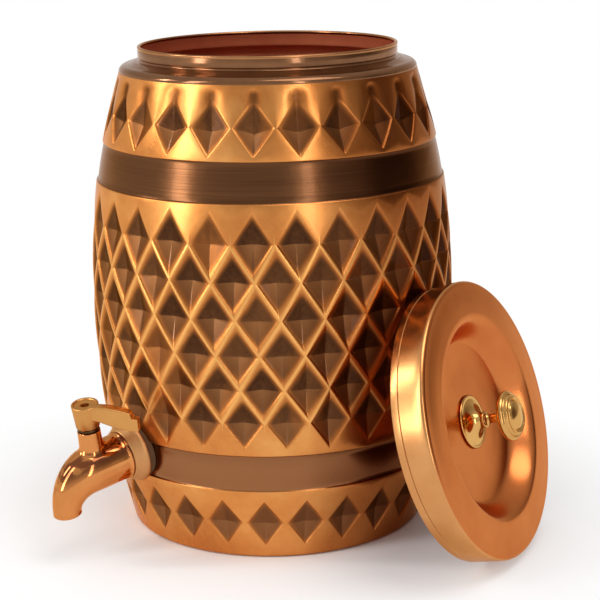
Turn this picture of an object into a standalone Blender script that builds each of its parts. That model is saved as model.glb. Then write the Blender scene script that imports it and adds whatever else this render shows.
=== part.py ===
"""A copper water dispenser pot: a barrel pressed with diamonds, an open neck, a lever tap and a loose lid.

Metres, +Z up. The origin is the centre of the flat base, on the floor, and the tap faces -Y. A heading
is an angle about +Z in degrees, counted from -Y towards +X. Every piece is one closed solid on its own object.
"""

import math

import bmesh
import bpy
import numpy as np
from mathutils import Matrix, Vector

MM = 0.001
TURN = 360.0

# Clearances between pieces that touch
SEAT_GAP = 0.3 * MM
CUT_OVERRUN = 4.0 * MM

# Barrel: a sheet wall whose radius passes smoothly through eight stations, from the foot up
WALL = 1.2 * MM
BASE_RADIUS = 92.0 * MM
LOWER_ROW_RADIUS = 97.8 * MM
LOWER_BAND_RADIUS = 105.8 * MM
LOWER_BELLY_RADIUS = 110.9 * MM
BELLY_RADIUS = 112.5 * MM
UPPER_BELLY_RADIUS = 110.5 * MM
UPPER_BAND_RADIUS = 105.2 * MM
SHOULDER_RADIUS = 91.0 * MM
WALL_HEIGHT = 283.0 * MM
LOWER_BELLY_HEIGHT = WALL_HEIGHT * 0.353
BELLY_HEIGHT = WALL_HEIGHT * 0.512
UPPER_BELLY_HEIGHT = WALL_HEIGHT * 0.671
FOOT_FILLET = 3.0 * MM
FOOT_STEP_SHARE = 0.3

# Plain bands round the barrel, sunk a little below the ridges
LOWER_BAND_MIDDLE = 57.3 * MM
UPPER_BAND_MIDDLE = WALL_HEIGHT - 53.5 * MM
BAND_WIDTH = 24.2 * MM
BAND_SINK = 0.9 * MM
BAND_EDGE = 0.8 * MM

# Diamonds: three lattices, each with its own count round the barrel
DIAMOND_DEPTH = 4.0 * MM
RIM_SINK = 0.5 * MM
LATTICE_COUNT = 27
LATTICE_ROWS = 6
LATTICE_HEADING = 0.0
ROW_DRIFT = 0.5
ROW_CLOSING_SHARE = 0.02
LATTICE_WIDTH_SHARE = 0.85
LATTICE_HEIGHT_SHARE = 0.73
CREST_SHARE = 0.9

UPPER_ROW_COUNT = 24
UPPER_ROW_HEADING = 2.7
UPPER_ROW_MIDDLE = WALL_HEIGHT - 23.5 * MM
UPPER_ROW_RISE = 15.0 * MM
UPPER_ROW_WIDTH_SHARE = 0.88
UPPER_ROW_TAIL = 3.0 * MM
UPPER_ROW_TAIL_SINK = 0.9 * MM
UPPER_ROW_PIT_DROP = 3.0 * MM

LOWER_ROW_COUNT = 25
LOWER_ROW_HEADING = 5.2
LOWER_ROW_MIDDLE = 23.5 * MM
LOWER_ROW_RISE = 14.3 * MM
LOWER_ROW_WIDTH_SHARE = 0.82
LOWER_ROW_TAIL = 1.5 * MM

PLAIN_RING_POINTS = 40

# Base pan
PAN_THICKNESS = 1.5 * MM
PAN_FLANGE_HEIGHT = 8.0 * MM
PAN_FLANGE_THICKNESS = 1.2 * MM
PAN_CROWN = 0.8 * MM
PAN_FLAT_RADIUS = 60.0 * MM

# Neck collar
NECK_RADIUS = 79.2 * MM
NECK_TOP = WALL_HEIGHT + 15.0 * MM
NECK_SHEET = 1.2 * MM
LIP_RADIUS = 0.9 * MM
NECK_GROOVE_HEIGHT = WALL_HEIGHT + 7.6 * MM
NECK_GROOVE_DEPTH = 0.5 * MM
NECK_GROOVE_WIDTH = 1.0 * MM
SHOULDER_ROUND = 5.0 * MM
SHOULDER_TOP = WALL_HEIGHT + 6.2 * MM
SPIGOT_LENGTH = 2.0 * MM

# Tap: square to the wall over the lower band, with its stem a few degrees off upright
TAP_HEIGHT = 61.7 * MM
TAP_LEAN = 6.0
TAP_HOLE_RADIUS = 10.8 * MM
SHANK_RADIUS = 10.4 * MM
SHANK_BORE = 6.0 * MM
OUTER_WASHER_RADIUS = 17.6 * MM
OUTER_WASHER_THICKNESS = 2.6 * MM
INNER_WASHER_RADIUS = 13.5 * MM
INNER_WASHER_THICKNESS = 2.6 * MM
NUT_ACROSS_FLATS = 27.0 * MM
NUT_THICKNESS = 7.0 * MM
SHANK_END = 3.0 * MM
FLANGE_RADIUS = 19.4 * MM
FLANGE_FRONT_RADIUS = 15.2 * MM
FLANGE_LENGTH = 8.8 * MM
FLANGE_RIM = 3.2 * MM
TUBE_RADIUS = 14.6 * MM
TUBE_BEAD = 0.5 * MM
TUBE_BEAD_LENGTH = 1.4 * MM
STEM_DISTANCE = 31.0 * MM
STEM_BODY_RADIUS = 14.2 * MM
SPOUT_REACH = 22.7 * MM
SPOUT_DROP = 21.3 * MM
SPOUT_RADIUS = 8.5 * MM
SPOUT_WALL = 1.8 * MM
SPOUT_LIP = 0.3 * MM
HOUSING_RADIUS = 6.9 * MM
HOUSING_TOP = 25.7 * MM
HOUSING_FOOT = 9.0 * MM
HOUSING_FOOT_RADIUS = 7.7 * MM
HOUSING_WAIST = 15.6 * MM

# Valve inside the tap
PLUG_RADIUS = 5.0 * MM
PLUG_CLEARANCE = 0.3 * MM
PLUG_BOTTOM = 9.0 * MM
PLUG_SHOULDER = 16.5 * MM
PLUG_NECK_RADIUS = 3.2 * MM
PLUG_BORE = 3.2 * MM
GLAND_RADIUS = 5.8 * MM
GLAND_HEAD_RADIUS = 6.5 * MM
GLAND_HEAD = 2.0 * MM
GLAND_DEPTH = 8.0 * MM
O_RING_CORD = 1.0 * MM
O_RING_UPPER = 11.0 * MM
O_RING_LOWER = 6.8 * MM
SEAT_SEAL_RADIUS = 5.6 * MM
SEAT_SEAL_BORE = 3.5 * MM
SEAT_SEAL_LENGTH = 3.4 * MM

# Lever: a hub and a drooping upright blade. Each blade station is (share of the length, drop of the top
# and of the underside as shares of the droop), and its section is (share of half thickness, of half height)
HUB_TOP = 43.0 * MM
HUB_RADIUS = 8.2 * MM
HUB_FOOT_RADIUS = 7.1 * MM
HUB_SOCKET = 6.0 * MM
HUB_DISH_RADIUS = 6.6 * MM
HUB_DISH = 0.6 * MM
LEVER_REACH = 31.8 * MM
LEVER_THICKNESS = 6.2 * MM
LEVER_SIDE = 3.0 * MM
LEVER_HEIGHT = 8.8 * MM
LEVER_DROOP = 7.8 * MM
LEVER_HEADING = 134.0
LEVER_OFFSET = 3.0 * MM
BLADE_STATIONS = (
    (0.0, 0.0, 0.0),
    (0.12, 0.0, 0.03),
    (0.25, 0.01, 0.19),
    (0.42, 0.09, 0.47),
    (0.58, 0.23, 0.71),
    (0.72, 0.38, 0.86),
    (0.85, 0.55, 0.94),
    (0.89, 1.02, 0.96),
    (1.0, 1.12, 1.0),
)
BLADE_SECTION = (
    (-0.8, 1.0),
    (0.8, 1.0),
    (1.0, 0.88),
    (1.0, -0.88),
    (0.8, -1.0),
    (-0.8, -1.0),
    (-1.0, -0.88),
    (-1.0, 0.88),
)
HANDLE_SCREW_RADIUS = 1.5 * MM
HANDLE_SCREW_HEAD = 2.2 * MM
HANDLE_SCREW_HEAD_HEIGHT = 2.0 * MM
HANDLE_SCREW_LENGTH = 10.0 * MM

# Lid: a pressed cap with a dish, and a ring along its open edge
LID_RADIUS = 82.8 * MM
LID_HEM_RADIUS = 81.6 * MM
LID_SHEET = 1.0 * MM
LID_DEPTH = 21.6 * MM
LID_EDGE_ROUND = 2.6 * MM
LID_EDGE_RING = 5.0 * MM
LID_EDGE_SPIGOT = 3.0 * MM
LID_EDGE_THICKNESS = 1.0 * MM
DISH_RADIUS = 61.0 * MM
DISH_FLOOR_RADIUS = 47.0 * MM
DISH_DEPTH = 12.4 * MM
LID_FACE_CROWN = 1.2 * MM

# Where the lid leans
LID_LEAN = 16.3
LID_FACE_HEADING = 114.2
LID_PLACE_HEADING = 105.1
LEAN_STEPS = 40

# Knob
KNOB_BASE_RADIUS = 16.0 * MM
KNOB_BASE_HEIGHT = 10.2 * MM
KNOB_BASE_RIM = 1.2 * MM
KNOB_NECK_RADIUS = 2.6 * MM
KNOB_HEAD_RADIUS = 14.8 * MM
KNOB_HEAD_THICKNESS = 11.0 * MM
KNOB_HEIGHT = 31.0 * MM
KNOB_DISH = 2.0 * MM
KNOB_SCREW_RADIUS = 1.6 * MM
KNOB_SCREW_DEPTH = 8.0 * MM
KNOB_SCREW_HEAD = 3.6 * MM
KNOB_SCREW_HEAD_HEIGHT = 2.2 * MM
KNOB_WASHER_RADIUS = 6.5 * MM
KNOB_WASHER_THICKNESS = 1.0 * MM

# Sides of round pieces
LARGE_ROUND = 40
ROUND = 24
SMALL_ROUND = 20
TINY_ROUND = 16


def clear_scene():
    for obj in list(bpy.data.objects):
        bpy.data.objects.remove(obj, do_unlink=True)


def finish(name, color, roughness, metallic):
    """A Principled material."""
    material = bpy.data.materials.new(name)
    material.use_nodes = True
    shader = material.node_tree.nodes["Principled BSDF"]
    shader.inputs["Base Color"].default_value = (*color, 1.0)
    shader.inputs["Roughness"].default_value = roughness
    shader.inputs["Metallic"].default_value = metallic
    return material


def add_object(name, mesh, material=None, parent=None, place=None):
    obj = bpy.data.objects.new(name, mesh)
    bpy.context.scene.collection.objects.link(obj)
    if material:
        mesh.materials.append(material)
    if parent:
        obj.parent = parent
    if place:
        obj.matrix_local = place
    return obj


def smooth(mesh, angle=35.0):
    mesh.shade_smooth()
    mesh.set_sharp_from_angle(angle=math.radians(angle))


def mesh_of(name, points, faces):
    mesh = bpy.data.meshes.new(name)
    mesh.from_pydata(points, [], faces)
    mesh.update()
    smooth(mesh)
    return mesh


def turned_mesh(name, profile, sides=ROUND):
    """Turns a closed (radius, height) outline about Z. Counter-clockwise outlines make outward faces."""
    points, rings = [], []
    for radius, height in profile:
        if radius <= 0.0:
            rings.append([len(points)])
            points.append((0.0, 0.0, height))
            continue
        rings.append(list(range(len(points), len(points) + sides)))
        for k in range(sides):
            angle = math.tau * k / sides
            points.append((radius * math.cos(angle), radius * math.sin(angle), height))
    faces = []
    for a, b in zip(rings, rings[1:] + rings[:1]):
        for k in range(sides):
            corners = [a[k % len(a)], a[(k + 1) % len(a)], b[(k + 1) % len(b)], b[k % len(b)]]
            corners = list(dict.fromkeys(corners))
            if len(corners) > 2:
                faces.append(corners)
    return mesh_of(name, points, faces)


def arc(center, radii, start, end, steps):
    """Points of an elliptic arc in a profile, angles in degrees from the radius axis."""
    return [
        (
            center[0] + radii[0] * math.cos(math.radians(start + (end - start) * k / steps)),
            center[1] + radii[1] * math.sin(math.radians(start + (end - start) * k / steps)),
        )
        for k in range(steps + 1)
    ]


def cutter(obj):
    obj.hide_render = True
    obj.display_type = "WIRE"
    return obj


def boolean(obj, other, operation="DIFFERENCE"):
    modifier = obj.modifiers.new(other.name, "BOOLEAN")
    modifier.operation = operation
    modifier.object = other
    modifier.solver = "EXACT"


def heading_point(radius, heading, height):
    angle = math.radians(heading)
    return Vector((radius * math.sin(angle), -radius * math.cos(angle), height))


# The barrel's outline

STATIONS = (
    (0.0, BASE_RADIUS),
    (LOWER_ROW_MIDDLE, LOWER_ROW_RADIUS),
    (LOWER_BAND_MIDDLE, LOWER_BAND_RADIUS),
    (LOWER_BELLY_HEIGHT, LOWER_BELLY_RADIUS),
    (BELLY_HEIGHT, BELLY_RADIUS),
    (UPPER_BELLY_HEIGHT, UPPER_BELLY_RADIUS),
    (UPPER_BAND_MIDDLE, UPPER_BAND_RADIUS),
    (WALL_HEIGHT, SHOULDER_RADIUS),
)


def smooth_curve(stations):
    """A natural cubic spline through the stations."""
    at, value = np.array(stations).T
    step = np.diff(at)
    count = len(at)
    system, load = np.eye(count), np.zeros(count)
    for k in range(1, count - 1):
        system[k, k - 1:k + 2] = step[k - 1], 2.0 * (step[k - 1] + step[k]), step[k]
        load[k] = 6.0 * ((value[k + 1] - value[k]) / step[k] - (value[k] - value[k - 1]) / step[k - 1])
    bend = np.linalg.solve(system, load)

    def curve(x):
        k = int(np.clip(np.searchsorted(at, x) - 1, 0, count - 2))
        t, h = x - at[k], step[k]
        slope = (value[k + 1] - value[k]) / h - h * (2.0 * bend[k] + bend[k + 1]) / 6.0
        cubic = (bend[k + 1] - bend[k]) * t ** 3 / (6.0 * h)
        return float(value[k] + slope * t + bend[k] * t * t / 2.0 + cubic)

    return curve


barrel_radius = smooth_curve(STATIONS)


def foot_radius(height):
    """Radius over the ridges, drawn in by the fillet at the foot. Higher up it is barrel_radius."""
    if height >= FOOT_FILLET:
        return barrel_radius(height)
    drop = 1.0 - height / FOOT_FILLET
    return barrel_radius(FOOT_FILLET) - FOOT_FILLET * (1.0 - math.sqrt(1.0 - drop * drop))


def tap_slope():
    """Downward tilt of the wall's normal at the tap, in radians: the wall widens upwards there."""
    rise = barrel_radius(TAP_HEIGHT + TAP_HOLE_RADIUS) - barrel_radius(TAP_HEIGHT - TAP_HOLE_RADIUS)
    return math.atan2(rise, 2.0 * TAP_HOLE_RADIUS)


# The pressed wall

class PressedSheet:
    """One skin of the wall: vertices as (heading, height, sink below the ridges) and outward faces.

    The outer skin has flat-topped ridges. On the plain inner skin the diamonds meet at the ridges' crests.
    """

    def __init__(self, ridged):
        self.ridged = ridged
        self.spots = []
        self.faces = []

    def spot(self, heading, height, sink=0.0):
        self.spots.append((heading, height, sink))
        return heading, len(self.spots) - 1

    def ring(self, height, sink=0.0, count=PLAIN_RING_POINTS):
        return [self.spot(TURN * k / count, height, sink) for k in range(count)]

    def stitch(self, lower, upper):
        """Triangles between two closed loops of (heading, vertex), each in order of heading."""
        lower, upper = sorted(lower), sorted(upper)
        i = j = 0
        while i < len(lower) or j < len(upper):
            below, below_next = lower[i % len(lower)], lower[(i + 1) % len(lower)]
            above, above_next = upper[j % len(upper)], upper[(j + 1) % len(upper)]
            reach_below = below_next[0] + TURN * ((i + 1) // len(lower))
            reach_above = above_next[0] + TURN * ((j + 1) // len(upper))
            if j >= len(upper) or (i < len(lower) and reach_below <= reach_above):
                self.faces.append((below[1], below_next[1], above[1]))
                i += 1
            else:
                self.faces.append((below[1], above_next[1], above[1]))
                j += 1
        return upper

    def pyramid(self, left, right, top, bottom, pit):
        for a, b in ((left, bottom), (bottom, right), (right, top), (top, left)):
            self.faces.append((a[1], b[1], pit[1]))

    def slope(self, corner, next_corner, crest, next_crest):
        """The flank of a ridge, from one side of a diamond up to the ridge's crest."""
        self.faces.append((corner[1], next_corner[1], next_crest[1], crest[1]))

    def diamond(self, heading, height, half_width, rise, drop, crests, pit_drop=0.0, top_sink=RIM_SINK):
        """One recess. crests are the crest points at its left, top, right and bottom."""
        if not self.ridged:
            crest_left, crest_top, crest_right, crest_bottom = crests
            pit = self.spot(heading, height - pit_drop, DIAMOND_DEPTH)
            self.pyramid(crest_left, crest_right, crest_top, crest_bottom, pit)
            return
        left = self.spot(heading - half_width, height, RIM_SINK)
        right = self.spot(heading + half_width, height, RIM_SINK)
        top = self.spot(heading, height + rise, top_sink)
        bottom = self.spot(heading, height - drop, RIM_SINK)
        pit = self.spot(heading, height - pit_drop, DIAMOND_DEPTH)
        self.pyramid(left, right, top, bottom, pit)
        crest_left, crest_top, crest_right, crest_bottom = crests
        self.slope(left, top, crest_left, crest_top)
        self.slope(top, right, crest_top, crest_right)
        self.slope(right, bottom, crest_right, crest_bottom)
        self.slope(bottom, left, crest_bottom, crest_left)


def wrapped(loop):
    return [(heading % TURN, index) for heading, index in loop]


def single_row(
    sheet, lower_ring, count, first, middle, rise, width_share, tail, tail_sink=0.0, pit_drop=0.0
):
    """A row of diamonds on its own. Returns its upper loop of crest points."""
    pitch = TURN / count
    half_width = pitch / 2.0 * width_share
    beside = [sheet.spot((first + (k - 0.5) * pitch), middle) for k in range(count)]
    above = [sheet.spot(first + k * pitch, middle + rise + tail, tail_sink) for k in range(count)]
    below = [sheet.spot(first + k * pitch, middle - rise - LOWER_ROW_TAIL) for k in range(count)]
    for k in range(count):
        crests = (beside[k], above[k], beside[(k + 1) % count], below[k])
        sheet.diamond(
            first + k * pitch, middle, half_width, rise, rise, crests, pit_drop, max(RIM_SINK, tail_sink)
        )
    sheet.stitch(lower_ring, wrapped(beside + below))
    return wrapped(beside + above)


def lattice_heights():
    """Heights of the crest lines between the bands, from the top edge down, closing up a little."""
    top = UPPER_BAND_MIDDLE - BAND_WIDTH / 2.0
    bottom = LOWER_BAND_MIDDLE + BAND_WIDTH / 2.0
    rows = LATTICE_ROWS + 1
    shares = [1.0 - ROW_CLOSING_SHARE * k for k in range(rows)]
    heights = [top]
    for share in shares:
        heights.append(heights[-1] - (top - bottom) * share / sum(shares))
    return heights


def lattice(sheet, lower_ring):
    """The staggered rows between the bands. Returns the upper loop of crest points."""
    pitch = TURN / LATTICE_COUNT
    heights = lattice_heights()
    half_width = pitch / 2.0 * LATTICE_WIDTH_SHARE

    def row_heading(row, k):
        return LATTICE_HEADING + ROW_DRIFT * row + (k + row % 2 / 2.0) * pitch

    def crest_row(row):
        """Crest points beside a row's diamonds; past the end rows, above and below their tips."""
        inner = 0 < row <= LATTICE_ROWS
        edge = heights[1] if row == 0 else heights[LATTICE_ROWS]
        height = heights[row] if inner else edge + (heights[row] - edge) * CREST_SHARE
        nearest = row if inner else (1 if row == 0 else LATTICE_ROWS)
        shift = -0.5 if inner else 0.0
        return [
            sheet.spot(row_heading(nearest, k) + shift * pitch, height) for k in range(LATTICE_COUNT)
        ]

    crests = [crest_row(row) for row in range(LATTICE_ROWS + 2)]
    for row in range(1, LATTICE_ROWS + 1):
        rise = (heights[row - 1] - heights[row]) * LATTICE_HEIGHT_SHARE
        drop = (heights[row] - heights[row + 1]) * LATTICE_HEIGHT_SHARE
        for k in range(LATTICE_COUNT):
            above = k if row == 1 else k + row % 2
            below = k if row == LATTICE_ROWS else k + row % 2
            sheet.diamond(
                row_heading(row, k),
                heights[row],
                half_width,
                rise,
                drop,
                (
                    crests[row][k],
                    crests[row - 1][above % LATTICE_COUNT],
                    crests[row][(k + 1) % LATTICE_COUNT],
                    crests[row + 1][below % LATTICE_COUNT],
                ),
            )
    sheet.stitch(lower_ring, wrapped(crests[LATTICE_ROWS] + crests[LATTICE_ROWS + 1]))
    return wrapped(crests[0] + crests[1])


def band(sheet, below, middle):
    """A sunk plain band above a loop of crest points. Returns its upper edge ring."""
    low, high = middle - BAND_WIDTH / 2.0, middle + BAND_WIDTH / 2.0
    stations = [(low, 0.0), (low + BAND_EDGE, BAND_SINK), (high - BAND_EDGE, BAND_SINK), (high, 0.0)]
    for height, sink in stations if sheet.ridged else stations[1:-1]:
        ring = sheet.ring(height, sink)
        sheet.stitch(below, ring)
        below = ring
    return below


def pressed_sheet(ridged):
    """One skin, with its lowest and highest rings."""
    sheet = PressedSheet(ridged)
    foot = sheet.ring(0.0)
    loop = foot
    for share in (FOOT_STEP_SHARE, 1.0) if ridged else (1.0,):
        ring = sheet.ring(FOOT_FILLET * share)
        sheet.stitch(loop, ring)
        loop = ring
    loop = single_row(
        sheet, loop, LOWER_ROW_COUNT, LOWER_ROW_HEADING, LOWER_ROW_MIDDLE, LOWER_ROW_RISE,
        LOWER_ROW_WIDTH_SHARE, LOWER_ROW_TAIL,
    )
    loop = band(sheet, loop, LOWER_BAND_MIDDLE)
    loop = lattice(sheet, loop)
    loop = band(sheet, loop, UPPER_BAND_MIDDLE)
    loop = single_row(
        sheet, loop, UPPER_ROW_COUNT, UPPER_ROW_HEADING, UPPER_ROW_MIDDLE, UPPER_ROW_RISE,
        UPPER_ROW_WIDTH_SHARE, UPPER_ROW_TAIL, UPPER_ROW_TAIL_SINK, UPPER_ROW_PIT_DROP,
    )
    rim = sheet.ring(WALL_HEIGHT)
    sheet.stitch(loop, rim)
    return sheet, foot, rim


def barrel_wall(material):
    skin, foot, rim = pressed_sheet(True)
    lining, inner_foot, inner_rim = pressed_sheet(False)
    points = [heading_point(foot_radius(h) - sink, a, h) for a, h, sink in skin.spots]
    points += [heading_point(foot_radius(h) - sink - WALL, a, h) for a, h, sink in lining.spots]
    count = len(skin.spots)
    faces = skin.faces + [tuple(count + k for k in reversed(face)) for face in lining.faces]
    for loop, inner_loop in ((rim, inner_rim), (inner_foot, foot)):
        shift, inner_shift = (0, count) if loop is rim else (count, 0)
        for k in range(len(loop)):
            n = (k + 1) % len(loop)
            outer = (loop[k][1] + shift, loop[n][1] + shift)
            faces.append(outer + (inner_loop[n][1] + inner_shift, inner_loop[k][1] + inner_shift))
    mesh = mesh_of("barrel_wall", points, faces)
    wall = add_object("barrel_wall", mesh, material)
    reach = CUT_OVERRUN
    hole = [(0.0, -reach), (TAP_HOLE_RADIUS, -reach), (TAP_HOLE_RADIUS, reach), (0.0, reach)]
    hole = turned_mesh("tap_hole", hole, SMALL_ROUND)
    boolean(wall, cutter(add_object("tap_hole", hole, parent=tap_mount(), place=OUTWARD)))
    return wall


def turned_barrel(name, offset, ridge_sink, sides):
    """A solid of the lower band's outline and of the ridges beside it, moved out by offset, as a cutter."""
    low, high = LOWER_BAND_MIDDLE - BAND_WIDTH / 2.0, LOWER_BAND_MIDDLE + BAND_WIDTH / 2.0
    stations = [
        (low - BAND_WIDTH, ridge_sink),
        (low - BAND_WIDTH / 2.0, ridge_sink),
        (low, ridge_sink),
        (low + BAND_EDGE, BAND_SINK),
        (high - BAND_EDGE, BAND_SINK),
        (high, ridge_sink),
        (high + BAND_WIDTH / 2.0, ridge_sink),
        (high + BAND_WIDTH, ridge_sink),
    ]
    profile = [(0.0, stations[0][0])]
    profile += [(barrel_radius(height) - sink + offset, height) for height, sink in stations]
    profile.append((0.0, stations[-1][0]))
    return cutter(add_object(name, turned_mesh(name, profile, sides)))


# The tap's own frame: its -Y is the way the tap points, and its Z is the stem

OUTWARD = Matrix.Rotation(math.radians(90.0), 4, "X")
_MOUNT = []


def tap_mount():
    """The empty on the wall's face that carries the tap, made once."""
    if not _MOUNT:
        empty = bpy.data.objects.new("tap_mount", None)
        bpy.context.scene.collection.objects.link(empty)
        empty.location = (0.0, -(barrel_radius(TAP_HEIGHT) - BAND_SINK), TAP_HEIGHT)
        square = Matrix.Rotation(tap_slope(), 3, "X")
        empty.rotation_euler = (square @ Matrix.Rotation(math.radians(TAP_LEAN), 3, "Y")).to_euler()
        _MOUNT.append(empty)
    return _MOUNT[0]


def base_pan(material):
    """A disc that lies on the floor, with an edge turned up inside the wall."""
    def inside(height, depth):
        return foot_radius(height) - WALL - SEAT_GAP - depth

    outer = [(inside(h, 0.0), h) for h in (0.0, FOOT_FILLET, PAN_FLANGE_HEIGHT)]
    inner = [
        (inside(PAN_FLANGE_HEIGHT, PAN_FLANGE_THICKNESS), PAN_FLANGE_HEIGHT),
        (inside(FOOT_FILLET, PAN_FLANGE_THICKNESS), FOOT_FILLET),
        (inside(FOOT_FILLET, 2.0 * PAN_FLANGE_THICKNESS), PAN_THICKNESS),
        (PAN_FLAT_RADIUS, PAN_THICKNESS),
        (0.0, PAN_THICKNESS + PAN_CROWN),
    ]
    pan = turned_mesh("base_pan", [(0.0, 0.0)] + outer + inner, LARGE_ROUND)
    return add_object("base_pan", pan, material)


def neck_collar(material):
    """Neck, groove and rounded shoulder, as one turned sheet with a short spigot inside the wall."""
    lip_center = NECK_RADIUS - LIP_RADIUS
    inner_radius = NECK_RADIUS - NECK_SHEET
    seat = WALL_HEIGHT + SEAT_GAP
    spigot_foot = WALL_HEIGHT - SPIGOT_LENGTH
    spigot = barrel_radius(spigot_foot) - WALL - UPPER_ROW_TAIL_SINK - SEAT_GAP
    spigot_top = barrel_radius(WALL_HEIGHT) - WALL - SEAT_GAP
    edge = barrel_radius(WALL_HEIGHT)
    round_center = (edge - SHOULDER_ROUND, seat)
    shoulder_rise = SHOULDER_ROUND * 0.8
    profile = [
        (spigot - NECK_SHEET, spigot_foot),
        (spigot, spigot_foot),
        (spigot_top, seat),
        (edge, seat),
    ]
    profile += arc(round_center, (SHOULDER_ROUND, shoulder_rise), 15.0, 75.0, 3)
    profile += [
        (NECK_RADIUS + NECK_GROOVE_WIDTH, SHOULDER_TOP),
        (NECK_RADIUS - NECK_GROOVE_DEPTH, NECK_GROOVE_HEIGHT - NECK_GROOVE_WIDTH / 2.0),
        (NECK_RADIUS - NECK_GROOVE_DEPTH, NECK_GROOVE_HEIGHT),
        (NECK_RADIUS, NECK_GROOVE_HEIGHT + NECK_GROOVE_WIDTH / 2.0),
    ]
    profile += arc((lip_center, NECK_TOP - LIP_RADIUS), (LIP_RADIUS, LIP_RADIUS), 0.0, 180.0, 4)
    profile += [
        (inner_radius, NECK_TOP - 2.0 * LIP_RADIUS),
        (inner_radius, SHOULDER_TOP - NECK_SHEET),
        (round_center[0], seat + shoulder_rise - NECK_SHEET),
        (spigot_top - NECK_SHEET, seat),
    ]
    return add_object("neck_collar", turned_mesh("neck_collar", profile, LARGE_ROUND), material)


def washers(material):
    bore = TAP_HOLE_RADIUS
    outer = turned_mesh(
        "outer_washer",
        [
            (bore, -CUT_OVERRUN),
            (OUTER_WASHER_RADIUS, -CUT_OVERRUN),
            (OUTER_WASHER_RADIUS, OUTER_WASHER_THICKNESS),
            (bore, OUTER_WASHER_THICKNESS),
        ],
        SMALL_ROUND,
    )
    outer = add_object("outer_washer", outer, material, tap_mount(), OUTWARD)
    boolean(outer, turned_barrel("outer_face", SEAT_GAP, 0.0, 2 * PLAIN_RING_POINTS))
    back = -(WALL + SEAT_GAP + INNER_WASHER_THICKNESS)
    inner = turned_mesh(
        "inner_washer",
        [
            (bore, back),
            (INNER_WASHER_RADIUS, back),
            (INNER_WASHER_RADIUS, CUT_OVERRUN),
            (bore, CUT_OVERRUN),
        ],
        SMALL_ROUND,
    )
    inner = add_object("inner_washer", inner, material, tap_mount(), OUTWARD)
    boolean(inner, turned_barrel("inner_face", -WALL - SEAT_GAP, BAND_SINK, PLAIN_RING_POINTS), "INTERSECT")


def lock_nut(material):
    back = -(WALL + 2.0 * SEAT_GAP + INNER_WASHER_THICKNESS)
    nut = turned_mesh(
        "lock_nut",
        [
            (SHANK_RADIUS + SEAT_GAP, back - NUT_THICKNESS),
            (NUT_ACROSS_FLATS / 2.0 / math.cos(math.pi / 6.0), back - NUT_THICKNESS),
            (NUT_ACROSS_FLATS / 2.0 / math.cos(math.pi / 6.0), back),
            (SHANK_RADIUS + SEAT_GAP, back),
        ],
        6,
    )
    nut = add_object("lock_nut", nut, material, tap_mount(), OUTWARD)
    bore = turned_mesh(
        "nut_bore",
        [
            (0.0, back - NUT_THICKNESS - CUT_OVERRUN),
            (TAP_HOLE_RADIUS, back - NUT_THICKNESS - CUT_OVERRUN),
            (TAP_HOLE_RADIUS, CUT_OVERRUN),
            (0.0, CUT_OVERRUN),
        ],
        SMALL_ROUND,
    )
    boolean(nut, cutter(add_object("nut_bore", bore, parent=tap_mount(), place=OUTWARD)))


def flange_front():
    return OUTER_WASHER_THICKNESS + SEAT_GAP + FLANGE_LENGTH


def tap_flange(material):
    back = OUTER_WASHER_THICKNESS + SEAT_GAP
    rim = FLANGE_RIM / 2.0
    profile = [(TAP_HOLE_RADIUS, back), (FLANGE_RADIUS - rim, back)]
    profile += arc((FLANGE_RADIUS - rim, back + rim), (rim, rim), -60.0, 60.0, 3)
    profile += [
        (FLANGE_FRONT_RADIUS + (FLANGE_RADIUS - FLANGE_FRONT_RADIUS) * 0.4, back + FLANGE_LENGTH / 2.0),
        (FLANGE_FRONT_RADIUS, back + FLANGE_LENGTH),
        (TAP_HOLE_RADIUS, back + FLANGE_LENGTH),
    ]
    flange = turned_mesh("tap_flange", profile, ROUND)
    return add_object("tap_flange", flange, material, tap_mount(), OUTWARD)


def swept(name, stations, sides, material=None):
    """A round solid through (distance out, height, radius, pitch in degrees) in the tap's YZ plane."""
    points, faces = [], []
    across = Vector((1.0, 0.0, 0.0))
    for out, height, radius, pitch in stations:
        lift = Vector((0.0, -math.sin(math.radians(pitch)), math.cos(math.radians(pitch))))
        center = Vector((0.0, -out, height))
        for k in range(sides):
            angle = math.tau * k / sides
            points.append(center + radius * (math.cos(angle) * across + math.sin(angle) * lift))
    for s in range(len(stations) - 1):
        for k in range(sides):
            a, b = s * sides + k, s * sides + (k + 1) % sides
            faces.append((a, b, b + sides, a + sides))
    faces.append(tuple(range(sides))[::-1])
    faces.append(tuple(range((len(stations) - 1) * sides, len(stations) * sides)))
    return add_object(name, mesh_of(name, points, faces), material, tap_mount())


def spout_stations(radius_at, steps, overrun=0.0):
    """Stations round the elliptic bend from stem to outlet. radius_at takes the share of the bend."""
    stations = []
    for k in range(steps + 1):
        share = k / steps
        turn = math.radians(90.0 * share)
        out = STEM_DISTANCE + SPOUT_REACH * math.sin(turn)
        height = -SPOUT_DROP * (1.0 - math.cos(turn))
        pitch = math.degrees(math.atan2(SPOUT_DROP * math.sin(turn), SPOUT_REACH * math.cos(turn)))
        stations.append((out, height, radius_at(share), pitch))
    if overrun:
        out, height, radius, pitch = stations[-1]
        stations.append((out, height - overrun, radius, pitch))
    return stations


def body_radius(share):
    """The tap's outer radius from the stem to the outlet."""
    ease = share * share * (3.0 - 2.0 * share)
    lip = SPOUT_LIP if share > 0.95 else 0.0
    return STEM_BODY_RADIUS + (SPOUT_RADIUS - STEM_BODY_RADIUS) * ease + lip


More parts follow.
